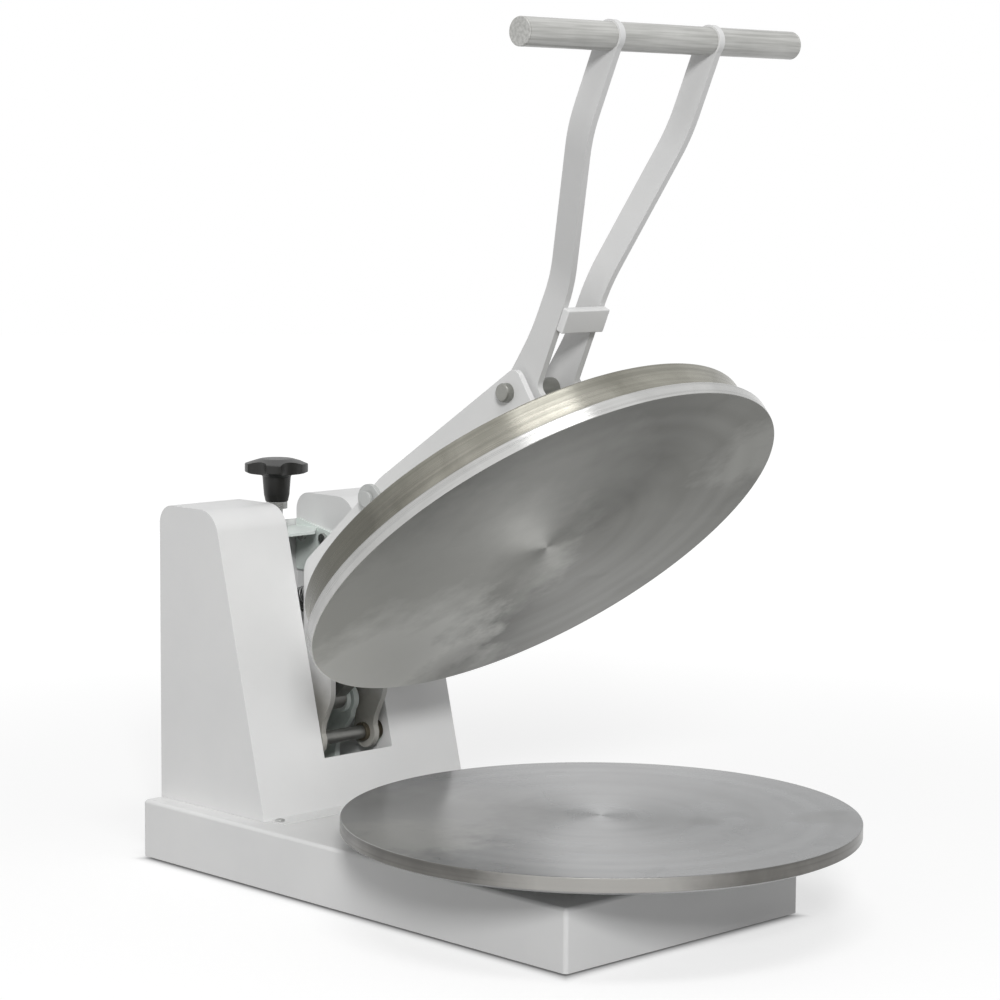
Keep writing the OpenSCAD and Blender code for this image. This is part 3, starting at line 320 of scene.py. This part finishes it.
# A stain or a spot of painted light or shade: its centre and reach in metres, how torn its edge is, and how
# much it covers
StainAndPaintedLight = namedtuple("StainAndPaintedLight", "centre reach ragged strength colour")


def times(factor, colour):
    return tuple(min(1.0, factor * c) for c in colour)


# Finishes: dark and light are the two tones that a finish drifts between, and rough is its range
def painted(name, shade=1.0, stains_and_light=()):
    s = Shader(name)
    broad = s.noise(scale=9.0, detail=4.0)
    speck = s.noise(scale=2600.0, detail=2.0)
    chips = s.noise(scale=160.0, detail=5.0)
    peel = s.noise(scale=620.0, detail=2.0, rough=0.5)
    dark, light = times(shade, (0.745, 0.747, 0.745)), times(shade, (0.79, 0.79, 0.785))
    tone = s.mix(s.range(broad, 0.3, 0.7), dark, light)
    tone = s.mix(s.range(speck, 0.62, 0.8, 0.0, 0.12), tone, (0.60, 0.60, 0.60))
    worn = s.math("MULTIPLY", s.edges(0.0012), s.range(chips, 0.45, 0.7, 0.0, 0.5))
    tone = s.mix(worn, tone, (0.62, 0.62, 0.61))
    roughness = s.range(s.noise(scale=60.0, detail=4.0), 0.3, 0.7, 0.36, 0.46)
    return s.finish(s.covered(tone, stains_and_light), roughness, s.bump(peel, 0.12, 0.0003))


def turned(name, dark, light, rough, metal, anisotropy, stains_and_light=()):
    s = Shader(name)
    smudge = s.noise(scale=9.0, detail=2.5, rough=0.5, distortion=0.6)
    stain = s.noise(scale=20.0, detail=2.0, rough=0.5, distortion=0.4)
    mixed = s.math("ADD", s.math("MULTIPLY", s.rings(40.0), 0.4), s.math("MULTIPLY", smudge, 0.6))
    tone = s.mix(s.range(mixed, 0.38, 0.62), dark, light)
    tone = s.mix(s.range(stain, 0.58, 0.74, 0.0, 0.35), tone, times(0.66, dark))
    s.turn()
    return s.finish(
        s.covered(tone, stains_and_light), s.range(smudge, 0.0, 1.0, *rough), s.bump(s.rings(140.0), 0.05, 0.0001),
        Metallic=metal, Anisotropic=anisotropy, Anisotropic_Rotation=0.0,
    )


def turned_rim(name, dark, light, rough, metal, anisotropy, stains_and_light=()):
    s = Shader(name)
    cuts = s.noise(scale=5.0, detail=5.0, rough=0.6, vector=s.stretched((0.6, 0.6, 60.0)))
    cloud = s.noise(scale=14.0, detail=5.0, rough=0.6, distortion=0.6)
    tone = s.mix(s.range(cloud, 0.36, 0.64), dark, light)
    tone = s.mix(s.range(cuts, 0.42, 0.66, 0.0, 0.5), tone, times(0.6, dark))
    s.turn()
    return s.finish(
        s.covered(tone, stains_and_light), s.range(cuts, 0.35, 0.65, *rough), s.bump(cuts, 0.10, 0.0001),
        Metallic=metal, Anisotropic=anisotropy, Anisotropic_Rotation=0.25,
    )


def plated(name, dark, light, rough, metal=1.0, grain=350.0):
    s = Shader(name)
    cloud = s.noise(scale=34.0, detail=6.0, rough=0.62, distortion=0.5)
    fine = s.noise(scale=grain, detail=4.0, rough=0.6)
    tone = s.mix(s.range(cloud, 0.3, 0.7), dark, light)
    worn = s.math("MULTIPLY", s.edges(0.0008), s.range(fine, 0.4, 0.7, 0.1, 0.6))
    tone = s.mix(worn, tone, times(1.35, light))
    return s.finish(tone, s.range(fine, 0.3, 0.7, *rough), s.bump(fine, 0.10, 0.0001), Metallic=metal)


def moulded(name, dark, light, rough, grain, depth):
    s = Shader(name)
    cloud = s.noise(scale=40.0, detail=4.0)
    fine = s.noise(scale=grain, detail=3.0, rough=0.6)
    scuffs = s.noise(scale=220.0, detail=4.0)
    tone = s.mix(s.range(cloud, 0.3, 0.7), dark, light)
    worn = s.math("MULTIPLY", s.edges(0.0010), s.range(scuffs, 0.4, 0.7, 0.0, 0.7))
    tone = s.mix(worn, tone, times(2.6, light))
    return s.finish(
        tone, s.range(fine, 0.3, 0.7, *rough), s.bump(fine, 0.25, depth), Specular_IOR_Level=0.5
    )


def satin_tube():
    s = Shader("satin_tube")
    brush = s.noise(scale=380.0, detail=3.0, rough=0.6, vector=s.stretched((0.03, 1.0, 1.0)))
    cloud = s.noise(scale=22.0, detail=5.0, rough=0.6)
    tone = s.mix(s.range(cloud, 0.3, 0.7), (0.46, 0.46, 0.44), (0.54, 0.54, 0.52))
    tone = s.mix(s.range(brush, 0.40, 0.64, 0.0, 0.5), tone, (0.22, 0.22, 0.205))
    roughness = s.range(brush, 0.3, 0.7, 0.28, 0.40)
    return s.finish(tone, roughness, s.bump(brush, 0.10, 0.0001), Metallic=0.1, Specular_IOR_Level=0.9)


MATERIALS = {
    "paint": painted("white_powder_coat"),
    "cast_aluminium": plated(
        "cast_aluminium", (0.40, 0.40, 0.39), (0.52, 0.52, 0.50), rough=(0.40, 0.55), grain=500.0
    ),
    "zinc_plate": plated(
        "zinc_plate", (0.36, 0.405, 0.38), (0.48, 0.52, 0.50), rough=(0.34, 0.48), metal=0.6
    ),
    "bronze": plated("bronze", (0.42, 0.29, 0.13), (0.58, 0.42, 0.21), rough=(0.30, 0.42)),
    "black_steel": plated(
        "black_steel", (0.035, 0.035, 0.037), (0.065, 0.065, 0.066), rough=(0.34, 0.5), metal=0.8
    ),
    "steel": plated("bright_steel", (0.46, 0.465, 0.46), (0.60, 0.60, 0.59), rough=(0.24, 0.36)),
    "black_plastic": moulded(
        "black_plastic", (0.007, 0.007, 0.006), (0.012, 0.012, 0.011), rough=(0.34, 0.46),
        grain=900.0, depth=0.0002,
    ),
    "rubber": moulded(
        "rubber", (0.016, 0.016, 0.016), (0.026, 0.026, 0.025), rough=(0.70, 0.86),
        grain=700.0, depth=0.0003,
    ),
    "polished_tube": satin_tube(),
}
# A darker copy of the white powder coat, for the handle legs
LEG_PAINT = painted("powder_coat_darker_on_handle", shade=0.88)
# Darker round the pivot, where the arm plates sit inside the tower: painted shade
ARM_PAINT = painted("powder_coat_painted_shade_at_pivot", stains_and_light=[
    StainAndPaintedLight((x, PIVOT_Y * MM, PIVOT_Z * MM), 0.066, 0.6, 0.9, (0.40, 0.39, 0.355)) for x in (0.033, -0.033)
])
UPPER_FACE = FACE_Z * MM
UPPER_METAL = turned(
    "turned_upper_face", (0.173, 0.173, 0.16), (0.229, 0.229, 0.215), rough=(0.30, 0.38),
    metal=0.7, anisotropy=0.95,
    # Lighter patches on the face: partly smudges, partly painted reflection of the lit base and tower
    stains_and_light=[
        StainAndPaintedLight((-0.14, 0.08, UPPER_FACE), 0.18, 0.5, 0.9, (0.68, 0.68, 0.64)),
        StainAndPaintedLight((-0.10, -0.07, UPPER_FACE), 0.13, 0.4, 0.6, (0.46, 0.46, 0.435)),
        StainAndPaintedLight((-0.075, 0.185, UPPER_FACE), 0.12, 1.0, 0.9, (0.94, 0.94, 0.90)),
        StainAndPaintedLight((0.05, 0.21, UPPER_FACE), 0.05, 2.0, 0.5, (0.42, 0.42, 0.40)),
        StainAndPaintedLight((0.17, -0.13, UPPER_FACE), 0.06, 2.0, 0.4, (0.38, 0.38, 0.36)),
    ],
)
LOWER_FACE = LOWER_FACE_Z * MM
LOWER_METAL = turned(
    "turned_lower_face", (0.245, 0.248, 0.25), (0.305, 0.31, 0.313), rough=(0.22, 0.27),
    metal=0.45, anisotropy=0.9,
    stains_and_light=[
        # Painted reflection: two lighter patches where the face mirrors the lit tower and base
        StainAndPaintedLight((-0.12, 0.12, LOWER_FACE), 0.13, 0.6, 0.75, (0.46, 0.46, 0.455)),
        StainAndPaintedLight((-0.183, 0.048, LOWER_FACE), 0.075, 1.5, 0.65, (0.50, 0.50, 0.48)),
        # Two small darker stains
        StainAndPaintedLight((0.048, -0.077, LOWER_FACE), 0.018, 0.7, 0.4, (0.16, 0.16, 0.16)),
        StainAndPaintedLight((0.137, -0.142, LOWER_FACE), 0.035, 2.0, 0.4, (0.17, 0.17, 0.165)),
    ],
)
BACK_METAL = turned(
    "turned_casting_top", (0.26, 0.255, 0.225), (0.33, 0.325, 0.29), rough=(0.32, 0.44),
    metal=0.5, anisotropy=0.6,
)
# The press disc's rim, lighter than its face: painted light
UPPER_RIM_LIT = turned_rim(
    "turned_upper_rim_painted_light", (0.45, 0.45, 0.44), (0.55, 0.55, 0.54), rough=(0.22, 0.30),
    metal=0.55, anisotropy=0.75,
)
# The lower platen's rim, darker than its face: painted shade
LOWER_RIM_SHADED = turned_rim(
    "turned_lower_rim_painted_shade", (0.13, 0.126, 0.118), (0.18, 0.175, 0.163), rough=(0.28, 0.36),
    metal=0.8, anisotropy=0.85,
    # Painted highlight: a lighter patch in the middle of the rim, towards the front left
    stains_and_light=[StainAndPaintedLight((-0.162, -0.162, 0.09), 0.10, 0.4, 0.8, (0.42, 0.41, 0.39))],
)
BACK_RIM = turned_rim(
    "turned_casting_side", (0.245, 0.238, 0.203), (0.36, 0.351, 0.306), rough=(0.24, 0.32),
    metal=0.7, anisotropy=0.8,
    # A darker patch on the casting's left side: painted shade, with some of the darker streaks there
    stains_and_light=[StainAndPaintedLight((-BACK_R * MM, 0.03, 0.01), 0.11, 0.7, 0.85, (0.10, 0.098, 0.082))],
)
# Darker copies of steel and bronze for the shafts, link and bushes inside the tower: painted shade
STEEL_SHADED = plated("steel_painted_shade", (0.20, 0.20, 0.19), (0.30, 0.30, 0.285), (0.30, 0.42), metal=0.6)
BRONZE_SHADED = plated("bronze_painted_shade", (0.15, 0.13, 0.095), (0.23, 0.20, 0.15), (0.34, 0.46), metal=0.7)
DULL_STEEL = plated("dull_steel", (0.24, 0.24, 0.22), (0.33, 0.33, 0.31), (0.36, 0.5), metal=0.7)
# A near-white greenish copy of zinc for the brackets, lever and frame plates inside the tower: painted light
# against the shade there
GREEN_ZINC_LIT = plated("green_zinc_painted_light", (0.72, 0.785, 0.75), (0.80, 0.85, 0.82), (0.34, 0.48), metal=0.1)
PALE_ZINC = plated("pale_zinc", (0.46, 0.47, 0.46), (0.56, 0.57, 0.56), (0.40, 0.55), metal=0.3)
SPRING_WIRE = plated("spring_wire", (0.20, 0.205, 0.205), (0.31, 0.31, 0.305), (0.28, 0.4))

# Nodes whose material differs from the rest of their slot: some have finishes of their own, and some take
# lighter or darker copies that paint light or shade
FINISH_OF_NODE = {
    "arm_plate_left": ARM_PAINT,
    "arm_plate_right": ARM_PAINT,
    "handle_leg_left": LEG_PAINT,
    "handle_leg_right": LEG_PAINT,
    "pivot_shaft": STEEL_SHADED,
    "push_link": STEEL_SHADED,
    "eccentric_shaft": STEEL_SHADED,
    "shaft_spacers": BRONZE_SHADED,
    "arm_bushes": BRONZE_SHADED,
    "link_bush": BRONZE_SHADED,
    "leg_spacer": DULL_STEEL,
    "handle_pivot_bolt": DULL_STEEL,
    "spindle_bracket": GREEN_ZINC_LIT,
    "anchor_bracket": GREEN_ZINC_LIT,
    "adjuster_lever": GREEN_ZINC_LIT,
    "frame_plate_left": GREEN_ZINC_LIT,
    "frame_plate_right": GREEN_ZINC_LIT,
    "arm_lugs": PALE_ZINC,
    "lug_pin": PALE_ZINC,
}


# Mesh helpers
def add_object(name, work, *materials):
    """Turns a finished bmesh into a smooth-shaded object of the scene."""
    mesh = bpy.data.meshes.new(name)
    work.to_mesh(mesh)
    work.free()
    for material in materials:
        mesh.materials.append(material)
    for face in mesh.polygons:
        face.use_smooth = True
    made = bpy.data.objects.new(name, mesh)
    scene.collection.objects.link(made)
    return made


def even_shading(made):
    modifier = made.modifiers.new("even_shading", "WEIGHTED_NORMAL")
    modifier.keep_sharp = True
    modifier.weight = 100


def circle(radius, sides):
    for i in range(sides):
        angle = 2 * math.pi * i / sides
        yield radius * math.cos(angle), radius * math.sin(angle)


def form(node, slot, round_mm):
    """A copy of a CAD node with its sharp edges rounded, which stands for the node."""
    work = bmesh.new()
    work.from_mesh(nodes[node].data)
    bmesh.ops.remove_doubles(work, verts=work.verts, dist=WELD)
    bmesh.ops.dissolve_limit(
        work, angle_limit=FLAT_ANGLE, use_dissolve_boundaries=False,
        verts=work.verts, edges=work.edges, delimit=set(),
    )
    sharp = [e for e in work.edges if len(e.link_faces) == 2 and e.calc_face_angle(0.0) > SHARP_ANGLE]
    bmesh.ops.bevel(
        work, geom=sharp, offset=round_mm * MM, offset_type="OFFSET",
        segments=ROUND_SEGMENTS, profile=0.5, affect="EDGES", clamp_overlap=True,
    )
    made = add_object(node + "_form", work, FINISH_OF_NODE.get(node, MATERIALS[slot]))
    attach(made, body_of_node[node])
    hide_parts(node)
    even_shading(made)


def lathe(name, profile, face_metal, rim_metal, matrix, node):
    """A closed body turned from (radius, height) points in millimetres, which stands for the node."""
    work = bmesh.new()
    rings = []
    for radius, height in profile:
        if radius == 0:
            rings.append([work.verts.new((0, 0, height * MM))])
        else:
            rings.append([work.verts.new((x, y, height * MM)) for x, y in circle(radius * MM, DISC_SIDES)])
    for a, b in zip(rings, rings[1:]):
        for i in range(DISC_SIDES):
            j = (i + 1) % DISC_SIDES
            corners = [a[i % len(a)], a[j % len(a)], b[j % len(b)], b[i % len(b)]]
            unique = list(dict.fromkeys(corners))
            if len(unique) > 2:
                work.faces.new(unique)
    bmesh.ops.recalc_face_normals(work, faces=work.faces)
    made = add_object(name, work, face_metal, rim_metal)
    made.matrix_world = matrix
    # Faces take the face material and the rim the rim material, whose different tone paints light or shade
    for face in made.data.polygons:
        face.material_index = 0 if abs(face.normal.z) > FACE_SLOPE else 1
    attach(made, body_of_node[node])
    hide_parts(node)
    even_shading(made)


def rounded_profile(points, steps=4):
    """Profile points (radius, height, corner) with each corner eased by a small arc."""
    out = []
    for i, (u, v, ease) in enumerate(points):
        if ease == 0:
            out.append((u, v))
            continue
        here = Vector((u, v))
        before = (Vector(points[i - 1][:2]) - here).normalized() * ease
        after = (Vector(points[i + 1][:2]) - here).normalized() * ease
        for k in range(steps + 1):
            t = k / steps
            p = here + before * (1 - t) ** 2 + after * t ** 2
            out.append((p.x, p.y))
    return out


def sweep(name, points, material):
    """A round wire along points given in millimetres, closed at both ends."""
    work = bmesh.new()
    rings = []
    last = None
    for i, p in enumerate(points):
        ahead, behind = points[min(i + 1, len(points) - 1)], points[max(i - 1, 0)]
        step = (ahead - behind).normalized()
        if last is None:
            last = step.cross(Vector((0.31, 0.52, 0.79)))
        last = (last - step * last.dot(step)).normalized()
        other = step.cross(last)
        rings.append([work.verts.new((p + x * last + y * other) * MM) for x, y in circle(WIRE_R, WIRE_SIDES)])
    for a, b in zip(rings, rings[1:]):
        for s in range(WIRE_SIDES):
            t = (s + 1) % WIRE_SIDES
            work.faces.new((a[s], a[t], b[t], b[s]))
    work.faces.new(list(reversed(rings[0])))
    work.faces.new(rings[-1])
    bmesh.ops.recalc_face_normals(work, faces=work.faces)
    return add_object(name, work, material)


# Turned discs
def build_discs():
    under = LOWER_UNDER_Z
    step_z = under - LOWER_STEP_H
    lower = rounded_profile([
        (0, step_z, 0), (LOWER_STEP_R, step_z, 0.8), (LOWER_STEP_R, under, 0.8),
        (PLATEN_R - LOWER_CHAMFER_W, under, 0.8), (PLATEN_R, under + LOWER_CHAMFER_H, 0.8),
        (PLATEN_R, LOWER_FACE_Z, 1.1), (OUTER_RING, LOWER_FACE_Z, 0), (INNER_RING, LOWER_FACE_Z, 0),
        (0, LOWER_FACE_Z, 0),
    ])
    at_base = Matrix.Translation((0, PLATEN_Y * MM, 0))
    lathe("lower_platen_turned", lower, LOWER_METAL, LOWER_RIM_SHADED, at_base, "lower_platen")

    top = FACE_Z + DISC_T
    disc = rounded_profile([
        (0, FACE_Z, 0), (INNER_RING, FACE_Z, 0), (OUTER_RING, FACE_Z, 0), (PLATEN_R, FACE_Z, 0.9),
        (PLATEN_R, top, 1.4), (BACK_R - SEAT_INSET, top, 0), (0, top, 0),
    ])
    at_arm = IN_ARM @ Matrix.Translation((0, CENTRE_Y * MM, 0))
    lathe("press_disc_turned", disc, UPPER_METAL, UPPER_RIM_LIT, at_arm, "press_disc")

    seat = top + SEAT_GAP
    back_top = top + BACK_H
    hub_z, skin_z = back_top - HUB_T, back_top - BACK_SKIN
    back = rounded_profile([
        (0, hub_z, 0), (HUB_R, hub_z, 3), (HUB_FOOT_R, skin_z, 3), (BACK_R - RIM_TOP_W, skin_z, 3),
        (BACK_R - RIM_FOOT_W, seat, 0.5), (BACK_R, seat, 0.8), (BACK_R, back_top, 2.0),
        (OUTER_RING, back_top, 0), (INNER_RING, back_top, 0), (0, back_top, 0),
    ])
    lathe("platen_back_turned", back, BACK_METAL, BACK_RIM, at_arm, "platen_back")


# Plain copies by slot, with each node's rounding in millimetres
FORMS = {
    "paint": [
        ("base_tray", 0.6), ("tower_shell", 0.5), ("arm_plate_left", 0.6), ("arm_plate_right", 0.6),
        ("arm_top_web", 0.5), ("handle_leg_left", 0.9), ("handle_leg_right", 0.9), ("cross_plate", 1.2),
    ],
    "zinc_plate": [
        ("base_bottom_plate", 0.3), ("frame_plate_left", 0.5), ("frame_plate_right", 0.5),
        ("anchor_bracket", 0.5), ("spindle_bracket", 0.4), ("adjuster_lever", 0.5), ("arm_lugs", 0.5),
        ("platen_bracket_left", 0.5), ("platen_bracket_right", 0.5),
    ],
    "cast_aluminium": [("platen_pedestal", 0.5)],
    "steel": [
        ("feet_screws", 0.25), ("lip_screws", 0.25), ("pedestal_bolts", 0.4), ("tower_screws", 0.25),
        ("frame_bolts", 0.4), ("pivot_shaft", 0.5), ("anchor_bolts", 0.4), ("spring_rod", 0.5),
        ("spring_rod_nuts", 0.5), ("bracket_bolts", 0.4), ("adjuster_spindle", 0.5),
        ("spindle_collars", 0.6), ("eccentric_shaft", 0.5), ("lever_stud", 0.3), ("lug_pin", 0.8),
        ("spring_pin", 0.5), ("bracket_arm_bolts", 0.5), ("bracket_platen_bolts", 0.5),
        ("disc_screws", 0.4), ("handle_pivot_bolt", 0.5), ("handle_pivot_nut", 0.6),
        ("pivot_washers", 0.25), ("crank_pin", 0.4), ("push_link", 0.6),
    ],
    "bronze": [
        ("shaft_spacers", 0.3), ("adjuster_nut", 0.5), ("arm_bushes", 0.3), ("leg_bushes", 0.3),
        ("link_bush", 0.3),
    ],
    "black_steel": [("shaft_rings", 0.15), ("leg_spacer", 0.5)],
    "black_plastic": [("adjuster_knob", 0.6)],
    "rubber": [("rubber_feet", 0.4)],
    "polished_tube": [("grip_tube", 0.3), ("grip_caps", 0.7)],
}


def build_forms():
    for slot, pieces in FORMS.items():
        for node, round_mm in pieces:
            form(node, slot, round_mm)


# Return springs: wound wire with a hooked loop at each end
def hook(centre, radius, start, steps):
    """Points of a loop in the spring's own (along, side, across) directions."""
    angles = [math.radians(start + LOOP_SWEEP * i / POINTS_PER_LOOP) for i in steps]
    return [(centre + radius * math.cos(a), radius * math.sin(a), 0.0) for a in angles]


def coil(start, length):
    """Points of the winding, which grows out of the axis over its first curl and back over its last."""
    points = []
    count = CURLS * POINTS_PER_CURL
    for k in range(count + 1):
        f = k / count
        taper = min(1.0, min(f, 1 - f) * CURLS)
        r = COIL_R * taper * taper * (3 - 2 * taper)
        a = 2 * math.pi * k / POINTS_PER_CURL
        points.append((start + length * f, r * math.sin(a), -r * math.cos(a)))
    return points


def build_springs():
    run = SPRING_REAR - SPRING_FRONT
    along = run.normalized()
    side = Vector((0, -along.z, along.y))
    across = Vector((1, 0, 0))
    start = FRONT_LOOP_R + LEAD
    length = run.length - start - REAR_LOOP_R - LEAD
    path = [
        *hook(0.0, FRONT_LOOP_R, FRONT_LOOP_FROM, range(POINTS_PER_LOOP)),
        *coil(start, length),
        *hook(run.length, REAR_LOOP_R, REAR_LOOP_FROM, range(1, POINTS_PER_LOOP + 1)),
    ]
    for name, x in (("return_spring_left", -SPRING_X), ("return_spring_right", SPRING_X)):
        points = [SPRING_FRONT + along * u + side * v + across * (x + w) for u, v, w in path]
        spring = sweep(name, points, SPRING_WIRE)
        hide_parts("return_springs")
        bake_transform(spring)


# Floor, backdrop light and lamps
def floor_glow(t):
    """Keeps the open floor white, lower round the object so that its shadow shows, and none under the base,
    fading out just beyond its edge, which paints a darker contact shadow round it.
    """
    place = t.add("ShaderNodeTexCoord").outputs["Object"]
    split = t.add("ShaderNodeSeparateXYZ")
    t.join(place, split.inputs["Vector"])
    low, high = (Vector(corner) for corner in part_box("base_tray"))
    middle, half = (low + high) / 2, (high - low) / 2

    def past_edge(axis, centre, reach):
        return t.math("SUBTRACT", t.math("ABSOLUTE", t.math("SUBTRACT", split.outputs[axis], centre)), reach)

    outside = t.math("MAXIMUM", past_edge("X", middle.x, half.x), past_edge("Y", middle.y, half.y))
    uncovered = t.range(outside, -CONTACT_SOFT, CONTACT_SOFT, curve="SMOOTHSTEP")
    glow = t.range(t.distance(place), GLOW_FROM, GLOW_TO, GLOW_NEAR, GLOW_FAR, curve="SMOOTHSTEP")
    return t.math("MULTIPLY", uncovered, glow)


def build_floor():
    work = bmesh.new()
    bmesh.ops.create_circle(work, cap_ends=True, segments=FLOOR_SIDES, radius=FLOOR_R)
    material = bpy.data.materials.new("pale_floor")
    material.use_nodes = True
    material.node_tree.nodes.clear()
    t = Tree(material.node_tree)
    diffuse = t.shader("ShaderNodeBsdfDiffuse", FLOOR_COLOUR)
    glow = t.shader("ShaderNodeEmission", WHITE)
    t.join(floor_glow(t), glow.inputs["Strength"])
    seen = t.add("ShaderNodeAddShader")
    t.join(diffuse.outputs[0], seen.inputs[0])
    t.join(glow.outputs[0], seen.inputs[1])
    t.split(diffuse, seen, t.add("ShaderNodeOutputMaterial"))
    add_object("floor", work, material)


def build_sky():
    world = bpy.data.worlds.new("studio")
    scene.world = world
    world.use_nodes = True
    world.node_tree.nodes.clear()
    t = Tree(world.node_tree)
    soft = t.shader("ShaderNodeBackground", WHITE, SKY_LIGHT)
    white = t.shader("ShaderNodeBackground", WHITE, SKY_SEEN)
    t.split(soft, white, t.add("ShaderNodeOutputWorld"))


def lamp(name, place, aim, size, power, mirrored):
    data = bpy.data.lights.new(name, "AREA")
    data.shape = "RECTANGLE"
    data.size, data.size_y = size
    data.energy = power
    made = bpy.data.objects.new(name, data)
    made.location = place
    made.rotation_euler = (Vector(aim) - Vector(place)).to_track_quat("-Z", "Y").to_euler()
    made.visible_glossy = mirrored
    scene.collection.objects.link(made)


def build_lamps():
    lamp("key", (-3.10, -3.45, 2.50), aim=(0, 0, 0.25), size=(0.9, 0.9), power=140, mirrored=False)
    lamp("overhead", (-1.3, -1.65, 4.0), aim=(0, 0, 0.3), size=(2.1, 1.0), power=48, mirrored=True)


place_camera()
build_floor()
build_sky()
build_lamps()
build_discs()
build_forms()
build_springs()
